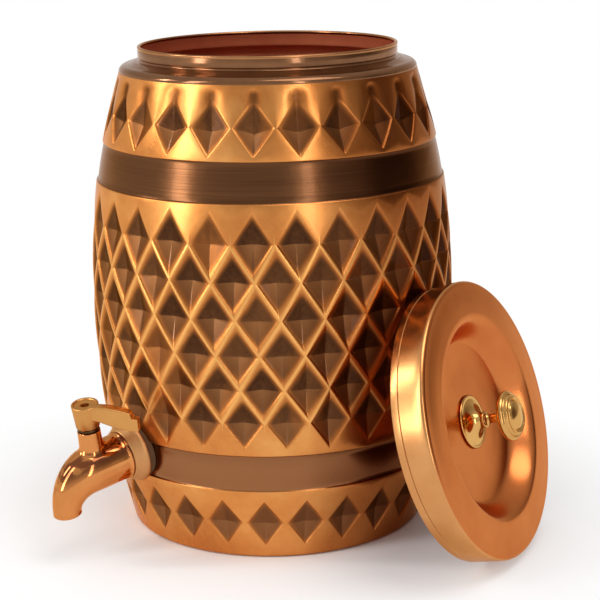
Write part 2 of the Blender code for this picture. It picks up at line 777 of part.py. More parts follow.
def tap_body(material):
    """Tube and spout as one swept form, with its shank, stem housing and waterways."""
    front = flange_front() + SEAT_GAP
    bead = [
        (front, 0.0, TUBE_RADIUS, 0.0),
        (front + TUBE_BEAD_LENGTH * 0.3, 0.0, TUBE_RADIUS + TUBE_BEAD, 0.0),
        (front + TUBE_BEAD_LENGTH * 0.7, 0.0, TUBE_RADIUS + TUBE_BEAD, 0.0),
        (front + TUBE_BEAD_LENGTH, 0.0, TUBE_RADIUS - TUBE_BEAD, 0.0),
    ]
    body = swept("tap_body", bead + spout_stations(body_radius, 8), SMALL_ROUND, material)
    stem = Matrix.Translation((0.0, -STEM_DISTANCE, 0.0))
    nut_back = WALL + 2.0 * SEAT_GAP + INNER_WASHER_THICKNESS + NUT_THICKNESS + SHANK_END
    ends = [(-nut_back, 0.0, SHANK_RADIUS, 0.0), (front + CUT_OVERRUN, 0.0, SHANK_RADIUS, 0.0)]
    boolean(body, cutter(swept("shank", ends, SMALL_ROUND)), "UNION")
    housing = [
        (0.0, 0.0),
        (HOUSING_FOOT_RADIUS, 0.0),
        (HOUSING_FOOT_RADIUS, HOUSING_FOOT),
        (HOUSING_RADIUS, HOUSING_WAIST),
        (HOUSING_RADIUS, HOUSING_TOP),
        (0.0, HOUSING_TOP),
    ]
    housing = turned_mesh("housing", housing, SMALL_ROUND)
    boolean(body, cutter(add_object("housing", housing, parent=tap_mount(), place=stem)), "UNION")
    chamber_radius = PLUG_RADIUS + PLUG_CLEARANCE
    chamber = turned_mesh(
        "chamber",
        [
            (0.0, -PLUG_BOTTOM - PLUG_CLEARANCE),
            (chamber_radius, -PLUG_BOTTOM - PLUG_CLEARANCE),
            (chamber_radius, HOUSING_TOP - GLAND_DEPTH - SEAT_GAP),
            (GLAND_RADIUS + SEAT_GAP, HOUSING_TOP - GLAND_DEPTH - SEAT_GAP),
            (GLAND_RADIUS + SEAT_GAP, HOUSING_TOP + CUT_OVERRUN),
            (0.0, HOUSING_TOP + CUT_OVERRUN),
        ],
        SMALL_ROUND,
    )
    boolean(body, cutter(add_object("chamber", chamber, parent=tap_mount(), place=stem)))
    ends = [(-nut_back - CUT_OVERRUN, 0.0, SHANK_BORE, 0.0), (STEM_DISTANCE, 0.0, SHANK_BORE, 0.0)]
    boolean(body, cutter(swept("inlet", ends, SMALL_ROUND)))

    def water_radius(share):
        return min(PLUG_RADIUS + share * SPOUT_RADIUS, SPOUT_RADIUS - SPOUT_WALL)

    boolean(body, cutter(swept("waterway", spout_stations(water_radius, 5, CUT_OVERRUN), TINY_ROUND)))
    return body


def valve_axis():
    """The empty on the stem's axis that the turning pieces hang from, at the lever's own heading."""
    axis = bpy.data.objects.new("valve_axis", None)
    bpy.context.scene.collection.objects.link(axis)
    axis.parent = tap_mount()
    axis.matrix_local = Matrix.Translation((0.0, -STEM_DISTANCE, 0.0))
    return axis


def valve(axis, brass, rubber, plastic):
    groove = O_RING_CORD / 2.0 + SEAT_GAP / 2.0
    ring_middle = PLUG_RADIUS - O_RING_CORD / 2.0 + SEAT_GAP / 3.0
    floor = ring_middle - O_RING_CORD / 2.0 - SEAT_GAP
    profile = [(0.0, -PLUG_BOTTOM), (PLUG_RADIUS, -PLUG_BOTTOM)]
    for middle in (-O_RING_LOWER, O_RING_UPPER):
        profile += [
            (PLUG_RADIUS, middle - groove - SEAT_GAP),
            (floor, middle - groove - SEAT_GAP),
            (floor, middle + groove + SEAT_GAP),
            (PLUG_RADIUS, middle + groove + SEAT_GAP),
        ]
    neck_top = HUB_TOP - HUB_SOCKET - 2.0 * SEAT_GAP - HANDLE_SCREW_HEAD_HEIGHT
    profile += [
        (PLUG_RADIUS, PLUG_SHOULDER),
        (PLUG_NECK_RADIUS, PLUG_SHOULDER),
        (PLUG_NECK_RADIUS, neck_top),
        (HANDLE_SCREW_RADIUS + SEAT_GAP, neck_top),
        (HANDLE_SCREW_RADIUS + SEAT_GAP, neck_top - HANDLE_SCREW_LENGTH),
        (0.0, neck_top - HANDLE_SCREW_LENGTH),
    ]
    plug = add_object("valve_plug", turned_mesh("valve_plug", profile, TINY_ROUND), brass, axis)
    reach = PLUG_RADIUS + CUT_OVERRUN
    bore = [(0.0, -reach), (PLUG_BORE, -reach), (PLUG_BORE, reach), (0.0, reach)]
    bore = turned_mesh("plug_bore", bore, TINY_ROUND)
    across = Matrix.Rotation(math.radians(90.0), 4, "Y")
    boolean(plug, cutter(add_object("plug_bore", bore, parent=axis, place=across)))
    cord = (O_RING_CORD / 2.0, O_RING_CORD / 2.0)
    for name, middle in (("plug_o_ring_upper", O_RING_UPPER), ("plug_o_ring_lower", -O_RING_LOWER)):
        ring = turned_mesh(name, arc((ring_middle, middle), cord, 0.0, 300.0, 5), TINY_ROUND)
        add_object(name, ring, rubber, axis)
    seal_end = STEM_DISTANCE - PLUG_RADIUS - 2.0 * PLUG_CLEARANCE
    seal = turned_mesh(
        "seat_seal",
        [
            (SEAT_SEAL_BORE, seal_end - SEAT_SEAL_LENGTH),
            (SEAT_SEAL_RADIUS, seal_end - SEAT_SEAL_LENGTH),
            (SEAT_SEAL_RADIUS, seal_end),
            (SEAT_SEAL_BORE, seal_end),
        ],
        SMALL_ROUND,
    )
    add_object("seat_seal", seal, plastic, tap_mount(), OUTWARD)


def gland_nut(material):
    bore = PLUG_NECK_RADIUS + PLUG_CLEARANCE
    base, head = HOUSING_TOP - GLAND_DEPTH, HOUSING_TOP + SEAT_GAP
    profile = [
        (bore, base),
        (GLAND_RADIUS, base),
        (GLAND_RADIUS, head),
        (GLAND_HEAD_RADIUS, head),
        (GLAND_HEAD_RADIUS, head + GLAND_HEAD),
        (bore, head + GLAND_HEAD),
    ]
    place = Matrix.Translation((0.0, -STEM_DISTANCE, 0.0))
    add_object("gland_nut", turned_mesh("gland_nut", profile, SMALL_ROUND), material, tap_mount(), place)


def hub_foot():
    return HOUSING_TOP + 2.0 * SEAT_GAP + GLAND_HEAD


def blade_mesh():
    """The drooping upright blade along +X, from inside the hub to its end with a stepped top corner."""
    rows = []
    for share, top_share, bottom_share in BLADE_STATIONS:
        along = LEVER_OFFSET + (LEVER_REACH - LEVER_OFFSET) * share
        top = HUB_TOP - LEVER_DROOP * top_share
        bottom = HUB_TOP - LEVER_HEIGHT - LEVER_DROOP * bottom_share
        rows.append((along, (top + bottom) / 2.0, (top - bottom) / 2.0))
    points, faces = [], []
    for along, middle, half in rows:
        for across, up in BLADE_SECTION:
            points.append((along, -across * LEVER_THICKNESS / 2.0, middle + up * half))
    n = len(BLADE_SECTION)
    for s in range(len(rows) - 1):
        for k in range(n):
            a, b = s * n + k, s * n + (k + 1) % n
            faces.append((a, b, b + n, a + n))
    faces.append(tuple(range(n))[::-1])
    faces.append(tuple(range((len(rows) - 1) * n, len(rows) * n)))
    return mesh_of("blade", points, faces)


def lever(axis, material):
    screw_seat = HUB_TOP - HUB_DISH - HUB_SOCKET
    foot = hub_foot()
    hub = turned_mesh(
        "lever",
        [
            (0.0, foot),
            (HUB_FOOT_RADIUS, foot),
            (HUB_RADIUS, HUB_TOP - HUB_DISH),
            (HUB_RADIUS - HUB_DISH / 2.0, HUB_TOP),
            (HUB_DISH_RADIUS + HUB_DISH / 2.0, HUB_TOP),
            (HUB_DISH_RADIUS, HUB_TOP - HUB_DISH),
            (0.0, HUB_TOP - HUB_DISH),
        ],
        SMALL_ROUND,
    )
    turn = Matrix.Rotation(math.radians(LEVER_HEADING - 90.0), 4, "Z")
    handle = add_object("lever", hub, material, axis)
    side = Matrix.Translation((0.0, -LEVER_SIDE, 0.0))
    boolean(handle, cutter(add_object("blade", blade_mesh(), parent=axis, place=turn @ side)), "UNION")
    socket = turned_mesh(
        "hub_socket",
        [
            (0.0, foot - CUT_OVERRUN),
            (PLUG_NECK_RADIUS + SEAT_GAP, foot - CUT_OVERRUN),
            (PLUG_NECK_RADIUS + SEAT_GAP, screw_seat - HANDLE_SCREW_HEAD_HEIGHT),
            (HANDLE_SCREW_RADIUS + SEAT_GAP, screw_seat - HANDLE_SCREW_HEAD_HEIGHT),
            (HANDLE_SCREW_RADIUS + SEAT_GAP, screw_seat),
            (HANDLE_SCREW_HEAD + SEAT_GAP, screw_seat),
            (HANDLE_SCREW_HEAD + SEAT_GAP, HUB_TOP + CUT_OVERRUN),
            (0.0, HUB_TOP + CUT_OVERRUN),
        ],
        TINY_ROUND,
    )
    boolean(handle, cutter(add_object("hub_socket", socket, parent=axis)))
    head_low = screw_seat + SEAT_GAP
    shank_foot = head_low - HANDLE_SCREW_LENGTH
    screw = turned_mesh(
        "handle_screw",
        [
            (0.0, shank_foot),
            (HANDLE_SCREW_RADIUS, shank_foot),
            (HANDLE_SCREW_RADIUS, head_low),
            (HANDLE_SCREW_HEAD, head_low),
            (HANDLE_SCREW_HEAD, head_low + HANDLE_SCREW_HEAD_HEIGHT),
            (0.0, head_low + HANDLE_SCREW_HEAD_HEIGHT),
        ],
        TINY_ROUND,
    )
    return handle, screw


# The lid, in its own frame: +Z is the face's outward normal, and its open edge is at -LID_DEPTH

def lid_place():
    """Leans the lid on the barrel: its open edge stands on the floor and touches the wall."""
    lean = math.radians(LID_LEAN)
    normal = heading_point(math.cos(lean), LID_FACE_HEADING, math.sin(lean))
    sideways = Vector((0.0, 0.0, 1.0)).cross(normal).normalized()
    uphill = normal.cross(sideways)
    turn = Matrix((sideways, uphill, normal)).transposed()
    edge_height = LID_HEM_RADIUS * math.cos(math.radians(LID_LEAN)) + SEAT_GAP / 2.0
    steps = [math.tau * k / ROUND for k in range(ROUND)]
    around = [LID_HEM_RADIUS * (math.cos(step) * sideways + math.sin(step) * uphill) for step in steps]

    def clearance(distance):
        center = heading_point(distance, LID_PLACE_HEADING, edge_height)
        rim = [center + spoke for spoke in around]
        return min(math.hypot(p.x, p.y) - barrel_radius(min(p.z, WALL_HEIGHT)) for p in rim)

    near, far = BELLY_RADIUS, BELLY_RADIUS + 2.0 * LID_HEM_RADIUS
    for _ in range(LEAN_STEPS):
        middle = (near + far) / 2.0
        if clearance(middle) < SEAT_GAP:
            near = middle
        else:
            far = middle
    center = heading_point(far, LID_PLACE_HEADING, edge_height) + normal * LID_DEPTH
    return Matrix.Translation(center) @ turn.to_4x4()


def lid_frame():
    frame = bpy.data.objects.new("lid_frame", None)
    bpy.context.scene.collection.objects.link(frame)
    frame.matrix_world = lid_place()
    return frame


def dish_outline(offset, steps):
    """The face and dish, from the edge round to the middle, moved down by offset."""
    face = [(LID_RADIUS - LID_EDGE_ROUND - LID_SHEET, -offset)]
    face += [((LID_RADIUS + DISH_RADIUS) / 2.0, LID_FACE_CROWN * 0.6 - offset)]
    width = DISH_RADIUS - DISH_FLOOR_RADIUS
    for k in range(steps + 1):
        share = k / steps
        ease = share * share * (3.0 - 2.0 * share)
        height = LID_FACE_CROWN * (1.0 - share) - DISH_DEPTH * ease
        face.append((DISH_RADIUS - width * share, height - offset))
    return face


def skirt_radius(height):
    """The skirt draws in a little from the face to its open edge."""
    share = min(max((-height - LID_EDGE_ROUND) / (LID_DEPTH - LID_EDGE_ROUND), 0.0), 1.0)
    return LID_RADIUS + (LID_HEM_RADIUS - LID_RADIUS) * share


def lid_cap(frame, material):
    skirt_foot = -(LID_DEPTH - LID_EDGE_RING)
    hole = KNOB_SCREW_RADIUS + SEAT_GAP
    floor = -DISH_DEPTH
    profile = [(skirt_radius(skirt_foot) - LID_SHEET, skirt_foot), (skirt_radius(skirt_foot), skirt_foot)]
    edge = (LID_RADIUS - LID_EDGE_ROUND, -LID_EDGE_ROUND)
    profile += arc(edge, (LID_EDGE_ROUND, LID_EDGE_ROUND), 0.0, 75.0, 3)
    profile += dish_outline(0.0, 5)
    profile += [(hole, floor), (hole, floor - LID_SHEET)]
    profile += dish_outline(LID_SHEET, 4)[::-1]
    profile += [(LID_RADIUS - LID_SHEET, -LID_EDGE_ROUND - LID_SHEET)]
    add_object("lid_cap", turned_mesh("lid_cap", profile, LARGE_ROUND), material, frame)


def lid_edge_ring(frame, material):
    foot, seam = -LID_DEPTH, -(LID_DEPTH - LID_EDGE_RING) - SEAT_GAP
    inner = skirt_radius(seam) - LID_SHEET - SEAT_GAP
    ring = [
        (inner - LID_EDGE_THICKNESS, foot),
        (LID_HEM_RADIUS, foot),
        (skirt_radius(seam), seam),
        (inner, seam),
        (inner, seam + LID_EDGE_SPIGOT),
        (inner - LID_EDGE_THICKNESS, seam + LID_EDGE_SPIGOT),
    ]
    add_object("lid_edge_ring", turned_mesh("lid_edge_ring", ring, LARGE_ROUND), material, frame)


def knob_pieces(frame, brass, steel):
    floor = -DISH_DEPTH
    hole = KNOB_SCREW_RADIUS + SEAT_GAP
    base_low = floor + SEAT_GAP
    base_top = base_low + KNOB_BASE_HEIGHT
    flare = KNOB_BASE_RADIUS - KNOB_NECK_RADIUS
    base = [(hole, base_low), (KNOB_BASE_RADIUS, base_low), (KNOB_BASE_RADIUS, base_low + KNOB_BASE_RIM)]
    for k in range(1, 8):
        angle = math.radians(90.0 * k / 7)
        rise = (KNOB_BASE_HEIGHT - KNOB_BASE_RIM) * (1.0 - math.cos(angle))
        base.append((KNOB_BASE_RADIUS - flare * math.sin(angle) * 0.88, base_low + KNOB_BASE_RIM + rise))
    base.append((hole, base_top))
    add_object("knob_base", turned_mesh("knob_base", base, SMALL_ROUND), brass, frame)

    low = base_top + SEAT_GAP
    top = base_low + KNOB_HEIGHT
    head_low = top - KNOB_HEAD_THICKNESS
    knob = [(KNOB_NECK_RADIUS, low), (KNOB_NECK_RADIUS, (low + head_low) / 2.0)]
    knob += [
        (KNOB_NECK_RADIUS * 1.8, head_low),
        (KNOB_HEAD_RADIUS * 0.75, head_low + KNOB_HEAD_THICKNESS * 0.18),
    ]
    edge = (KNOB_HEAD_RADIUS * 0.84, head_low + KNOB_HEAD_THICKNESS * 0.45)
    knob += arc(edge, (KNOB_HEAD_RADIUS * 0.16, KNOB_HEAD_THICKNESS * 0.27), -70.0, 75.0, 5)
    for share in (0.78, 0.66, 0.54):
        knob += [
            (KNOB_HEAD_RADIUS * (share + 0.07), top - KNOB_DISH * 1.1),
            (KNOB_HEAD_RADIUS * (share + 0.03), top - KNOB_DISH * 0.8),
        ]
    knob += [
        (KNOB_HEAD_RADIUS * 0.52, top - KNOB_DISH * 1.5),
        (KNOB_HEAD_RADIUS * 0.25, top - KNOB_DISH * 0.5),
        (0.0, top),
        (0.0, low + KNOB_SCREW_DEPTH),
        (hole, low + KNOB_SCREW_DEPTH),
        (hole, low),
    ]
    add_object("knob", turned_mesh("knob", knob, SMALL_ROUND), brass, frame)

    under = floor - LID_SHEET - SEAT_GAP
    washer_low = under - KNOB_WASHER_THICKNESS
    washer = [(hole, washer_low), (KNOB_WASHER_RADIUS, washer_low)]
    washer += [(KNOB_WASHER_RADIUS, under), (hole, under)]
    add_object("knob_washer", turned_mesh("knob_washer", washer, SMALL_ROUND), steel, frame)
    head_top = washer_low - SEAT_GAP
    tip = low + KNOB_SCREW_DEPTH - 2.0 * SEAT_GAP
    screw = [
        (0.0, head_top - KNOB_SCREW_HEAD_HEIGHT),
        (KNOB_SCREW_HEAD * 0.7, head_top - KNOB_SCREW_HEAD_HEIGHT),
        (KNOB_SCREW_HEAD, head_top - KNOB_SCREW_HEAD_HEIGHT / 2.0),
        (KNOB_SCREW_HEAD, head_top),
        (KNOB_SCREW_RADIUS, head_top),
        (KNOB_SCREW_RADIUS, tip),
        (0.0, tip),
    ]
    add_object("knob_screw", turned_mesh("knob_screw", screw, TINY_ROUND), steel, frame)


def main():
    clear_scene()
    copper = finish("polished_copper", (0.78, 0.36, 0.16), 0.32, 1.0)
    antique = finish("antique_copper", (0.22, 0.12, 0.07), 0.35, 1.0)
    bare = finish("bare_copper", (0.55, 0.22, 0.12), 0.45, 1.0)
    mirror = finish("mirror_copper", (0.85, 0.45, 0.26), 0.12, 1.0)
    matt = finish("matt_copper", (0.62, 0.38, 0.22), 0.5, 1.0)
    satin = finish("satin_copper", (0.80, 0.42, 0.18), 0.35, 1.0)
    brass = finish("brass", (0.78, 0.58, 0.22), 0.2, 1.0)
    steel = finish("steel", (0.6, 0.6, 0.6), 0.3, 1.0)
    rubber = finish("rubber", (0.05, 0.05, 0.05), 0.8, 0.0)
    plastic = finish("white_plastic", (0.85, 0.85, 0.82), 0.5, 0.0)

    barrel_wall(copper)
    base_pan(bare)
    neck_collar(antique)
    washers(rubber)
    lock_nut(brass)
    tap_flange(matt)
    tap_body(mirror)
    axis = valve_axis()
    valve(axis, brass, rubber, plastic)
    gland_nut(brass)
    _, screw = lever(axis, mirror)
    add_object("handle_screw", screw, steel, axis)
    frame = lid_frame()
    lid_cap(frame, satin)
    lid_edge_ring(frame, satin)
    knob_pieces(frame, brass, steel)
    bpy.context.view_layer.update()


main()
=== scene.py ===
"""Looks of the copper water dispenser pot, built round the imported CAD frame.

Lengths are in millimetres until a mesh or node takes them, with +Z up and the tap towards -Y.
A heading is an angle about +Z in degrees, counted from -Y towards +X.
"""

import math

import bpy
import numpy as np
from mathutils import Matrix, Vector

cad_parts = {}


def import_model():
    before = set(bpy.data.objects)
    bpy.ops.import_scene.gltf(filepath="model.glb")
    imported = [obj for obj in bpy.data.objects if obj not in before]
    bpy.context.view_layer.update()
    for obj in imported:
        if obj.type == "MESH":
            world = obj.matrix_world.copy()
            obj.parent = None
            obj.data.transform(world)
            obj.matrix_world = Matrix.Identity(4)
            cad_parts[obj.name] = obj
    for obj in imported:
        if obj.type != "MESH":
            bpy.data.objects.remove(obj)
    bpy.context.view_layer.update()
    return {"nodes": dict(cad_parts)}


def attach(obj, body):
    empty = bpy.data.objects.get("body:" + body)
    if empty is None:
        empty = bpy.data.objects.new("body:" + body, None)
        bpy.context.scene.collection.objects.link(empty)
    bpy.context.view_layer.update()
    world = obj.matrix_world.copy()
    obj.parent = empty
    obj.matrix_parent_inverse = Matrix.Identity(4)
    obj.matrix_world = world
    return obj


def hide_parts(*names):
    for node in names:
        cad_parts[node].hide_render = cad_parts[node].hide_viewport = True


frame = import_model()

MM = 0.001
TURN = 360.0
GAP = 0.3
WIDE_SIDES, SIDES, TAP_SIDES, GLAND_SIDES = 192, 96, 72, 64     # corners round the turned shapes

# Barrel sizes, as in the part
WALL = 1.2
BASE_RADIUS = 92.0
LOWER_ROW_RADIUS = 97.8
LOWER_BAND_RADIUS = 105.8
LOWER_BELLY_RADIUS = 110.9
BELLY_RADIUS = 112.5
UPPER_BELLY_RADIUS = 110.5
UPPER_BAND_RADIUS = 105.2
SHOULDER_RADIUS = 91.0
WALL_HEIGHT = 283.0
LOWER_BELLY_HEIGHT = WALL_HEIGHT * 0.353
BELLY_HEIGHT = WALL_HEIGHT * 0.512
UPPER_BELLY_HEIGHT = WALL_HEIGHT * 0.671
FOOT_FILLET = 3.0
LOWER_BAND_MIDDLE = 57.3
UPPER_BAND_MIDDLE = 229.5
BAND_WIDTH = 24.2
BAND_SINK = 0.9
DIAMOND_DEPTH = 4.0
RIM_SINK = 0.5
LATTICE_COUNT = 27
LATTICE_ROWS = 6
LATTICE_HEADING = 0.0
ROW_DRIFT = 0.5
ROW_CLOSING_SHARE = 0.02
LATTICE_WIDTH_SHARE = 0.85
LATTICE_HEIGHT_SHARE = 0.73
CREST_SHARE = 0.9
UPPER_ROW_COUNT = 24
UPPER_ROW_HEADING = 2.7
UPPER_ROW_MIDDLE = 259.5
UPPER_ROW_RISE = 15.0
UPPER_ROW_WIDTH_SHARE = 0.88
UPPER_ROW_TAIL = 3.0
UPPER_ROW_TAIL_SINK = 0.9
UPPER_ROW_PIT_DROP = 3.0
LOWER_ROW_COUNT = 25
LOWER_ROW_HEADING = 5.2
LOWER_ROW_MIDDLE = 23.5
LOWER_ROW_RISE = 14.3
LOWER_ROW_WIDTH_SHARE = 0.82
LOWER_ROW_TAIL = 1.5

# Neck sizes, as in the part
NECK_RADIUS = 79.2
NECK_TOP = 298.0
NECK_SHEET = 1.2
LIP_RADIUS = 0.9
NECK_GROOVE_HEIGHT = 290.6
SHOULDER_ROUND = 5.0
SHOULDER_TOP = 289.2

# Tap sizes, as in the part
TAP_HEIGHT = 61.7
TAP_LEAN = 6.0
TAP_HOLE_RADIUS = 10.8
SHANK_RADIUS = 10.4
OUTER_WASHER_RADIUS = 17.6
OUTER_WASHER_THICKNESS = 2.6
FLANGE_RADIUS = 19.4
FLANGE_FRONT_RADIUS = 15.2
FLANGE_LENGTH = 8.8
TUBE_RADIUS = 14.6
TUBE_BEAD = 0.5
TUBE_BEAD_LENGTH = 1.4
STEM_DISTANCE = 31.0
STEM_BODY_RADIUS = 14.2
SPOUT_REACH = 22.7
SPOUT_DROP = 21.3
SPOUT_RADIUS = 8.5
SPOUT_WALL = 1.8
SPOUT_LIP = 0.3
HOUSING_RADIUS = 6.9
HOUSING_TOP = 25.7
GLAND_HEAD_RADIUS = 6.5
GLAND_HEAD = 2.0
STEM_NECK_RADIUS = 3.2
HUB_TOP = 43.0
HUB_RADIUS = 8.2
HUB_FOOT_RADIUS = 7.1
HUB_DISH_RADIUS = 6.6
SCREW_HOLE_RADIUS = 2.5
LEVER_REACH = 31.8
LEVER_THICKNESS = 6.2
LEVER_SIDE = 3.0
LEVER_HEIGHT = 8.8
LEVER_DROOP = 7.8
LEVER_HEADING = 134.0
LEVER_OFFSET = 3.0
# The lever's blade: (share of its reach, droop of its top, droop of its underside)
BLADE_STATIONS = (
    (0.0, 0.0, 0.0),
    (0.12, 0.0, 0.03),
    (0.25, 0.01, 0.19),
    (0.42, 0.09, 0.47),
    (0.58, 0.23, 0.71),
    (0.72, 0.38, 0.86),
    (0.85, 0.55, 0.94),
)
BLADE_END = (                   # its blunt end, which isn't eased
    (0.862, 0.60, 0.945),
    (0.878, 0.85, 0.95),
    (0.892, 1.0, 0.957),
    (0.905, 1.05, 0.962),
    (0.95, 1.09, 0.985),
    (0.985, 1.11, 0.995),
)

# Lid and knob sizes, as in the part
LID_RADIUS = 82.8
LID_HEM_RADIUS = 81.6
LID_SHEET = 1.0
LID_DEPTH = 21.6
LID_EDGE_ROUND = 2.6
LID_EDGE_RING = 5.0
DISH_RADIUS = 61.0
DISH_FLOOR_RADIUS = 47.0
DISH_DEPTH = 12.4
LID_FACE_CROWN = 1.2
LID_LEAN = 16.3
LID_FACE_HEADING = 114.2
LID_PLACE_HEADING = 105.1
KNOB_BASE_RADIUS = 16.0
KNOB_BASE_HEIGHT = 10.2
KNOB_BASE_RIM = 1.2
KNOB_NECK_RADIUS = 2.6
KNOB_HEAD_RADIUS = 14.8
KNOB_HEAD_THICKNESS = 11.0
KNOB_HEIGHT = 31.0
KNOB_DISH = 2.0

# Camera, fitted to the photograph
CAMERA_DISTANCE = 1053.4
CAMERA_HEIGHT = 400.4
CAMERA_HEADING = 53.0
CAMERA_PITCH = 14.11
CAMERA_YAW = 0.92
CAMERA_ROLL = -1.09
CAMERA_LENS = 103.0
SENSOR = 36.0


# ---------------------------------------------------------------- helpers

def heading_point(radius, heading, height):
    angle = math.radians(heading)
    return Vector((radius * math.sin(angle), -radius * math.cos(angle), height))


def mesh_object(name, points, faces, mats, slots=None, smooth_angle=40.0, matrix=None):
    """A smooth mesh. Its points and the shift of its matrix are given in millimetres."""
    mesh = bpy.data.meshes.new(name)
    mesh.from_pydata([tuple(c * MM for c in p) for p in points], [], faces)
    for mat in mats:
        mesh.materials.append(mat)
    if slots is not None:
        mesh.polygons.foreach_set("material_index", slots)
    mesh.update()
    mesh.shade_smooth()
    if smooth_angle:
        mesh.set_sharp_from_angle(angle=math.radians(smooth_angle))
    obj = bpy.data.objects.new(name, mesh)
    bpy.context.scene.collection.objects.link(obj)
    if matrix is not None:
        place = matrix.copy()
        place.translation = place.translation * MM
        obj.matrix_world = place
    return obj


def turned(name, profile, sides, mats, slots=None, smooth_angle=40.0, matrix=None):
    """Turns a closed (radius, height) outline, counter-clockwise. slots has its edges' materials."""
    points, rings = [], []
    for radius, height in profile:
        if radius <= 0.0:
            rings.append([len(points)])
            points.append((0.0, 0.0, height))
            continue
        rings.append(list(range(len(points), len(points) + sides)))
        for k in range(sides):
            angle = math.tau * k / sides
            points.append((radius * math.cos(angle), radius * math.sin(angle), height))
    faces, face_slots = [], []
    for e, (a, b) in enumerate(zip(rings, rings[1:] + rings[:1])):
        for k in range(sides):
            corners = [a[k % len(a)], a[(k + 1) % len(a)], b[(k + 1) % len(b)], b[k % len(b)]]
            corners = list(dict.fromkeys(corners))
            if len(corners) > 2:
                faces.append(corners)
                face_slots.append(slots[e] if slots else 0)
    return mesh_object(name, points, faces, mats, face_slots, smooth_angle, matrix)


def sleeve(rings, sides):
    """Faces of a capped tube, whose points come ring after ring."""
    faces = []
    for ring in range(rings - 1):
        for k in range(sides):
            a, b = ring * sides + k, ring * sides + (k + 1) % sides
            faces.append((a, b, b + sides, a + sides))
    return faces + [tuple(range(sides))[::-1], tuple(range((rings - 1) * sides, rings * sides))]


def near(x, y, *steps):
    """Outline points, given by their steps from the point (x, y)."""
    return [(x + right, y + up) for right, up in steps]


def arc(center, radii, start, end, steps):
    angles = [math.radians(start + (end - start) * k / steps) for k in range(steps + 1)]
    return [(center[0] + radii[0] * math.cos(a), center[1] + radii[1] * math.sin(a)) for a in angles]


def rounded(profile, radius, steps=3):
    """Rounds the corners of a closed outline of (x, y) points by up to radius."""
    out = []
    count = len(profile)
    for k in range(count):
        a, p, b = (Vector(profile[n % count]) for n in (k - 1, k, k + 1))
        cut = min(radius, (a - p).length * 0.45, (b - p).length * 0.45)
        if p.x <= 0.0 or cut < 0.001:
            out.append(tuple(p))
            continue
        start = p + (a - p).normalized() * cut
        end = p + (b - p).normalized() * cut
        for s in range(steps + 1):
            t = s / steps
            out.append(tuple(start * (1 - t) ** 2 + p * 2 * t * (1 - t) + end * t * t))
    return out


def eased(share):
    """Smooth step from 0 to 1."""
    share = min(max(share, 0.0), 1.0)
    return share * share * (3.0 - 2.0 * share)


def chance(*values):
    """A repeatable number from 0 to 1 for the given numbers."""
    mixed = sum(value * factor for value, factor in zip(values, (12.9898, 78.233, 37.719)))
    return (math.sin(mixed) * 43758.5453) % 1.0


# ---------------------------------------------------------------- materials

COPPER_EDGE = (1.0, 0.78, 0.58)
ANTIQUE_EDGE = (0.85, 0.62, 0.48)
BRASS_EDGE = (1.0, 0.88, 0.66)
GRAIN_DEPTH = 0.03 * MM
BRUSH_DEPTH = 0.02 * MM
DENT_DEPTH = 0.2 * MM
SHEET_RELIEF = 0.22 * MM
PLAIN_SCALE = (1.0, 1.0, 1.0)
LATHE_LINES = (9.0, 9.0, 1300.0)        # a scale that draws noise out into lines round the barrel
# Tones of the pressed copper. Pairs run from the rim to the pit, or along the lathe lines
RIDGE_TONES = ((0.30, (0.56, 0.185, 0.042)), (0.52, (0.69, 0.265, 0.066)), (0.72, (0.79, 0.36, 0.105)))
# a painted highlight along the ridges' crests
CREST_HIGHLIGHT_TONE = (0.92, 0.46, 0.13)
WARM_TONES = ((0.30, (0.36, 0.110, 0.024)), (0.70, (0.50, 0.175, 0.040)))
# Recess patina, with painted shade: upper facets darker than lower ones, each darker at its rim than at
# its pit
UPPER_FACET_SHADED = ((0.038, 0.013, 0.005), (0.072, 0.027, 0.011))
LOWER_FACET_LIT = ((0.135, 0.045, 0.014), (0.235, 0.100, 0.036))
PATCH_TONE = (0.30, 0.118, 0.038)
BELT_TONES = ((0.108, 0.042, 0.017), (0.168, 0.070, 0.027))
# Painted light: paler tones low on the barrel, as lit from the floor
FOOT_LIGHT_FACET_TONE = (0.30, 0.125, 0.048)
FOOT_LIGHT_BELT_TONE = (0.34, 0.140, 0.055)
# the heights over which the foot's painted light from the floor fades out
FOOT_LIGHT_HEIGHTS = (60.0 * MM, 100.0 * MM)  # where the foot's paler brown starts to end, and has ended
# the tone of the painted shade on one side of the barrel
SHADED_SIDE_TONE = (0.50, 0.35, 0.29)
RECESS_EDGE = (0.70, 0.50, 0.36)
BELT_EDGE = (0.90, 0.66, 0.52)
# the painted reflection on the tap's upward faces
PAINTED_REFLECTION_TONE = (0.17, 0.045, 0.022)
WHITE = (1.0, 1.0, 1.0)


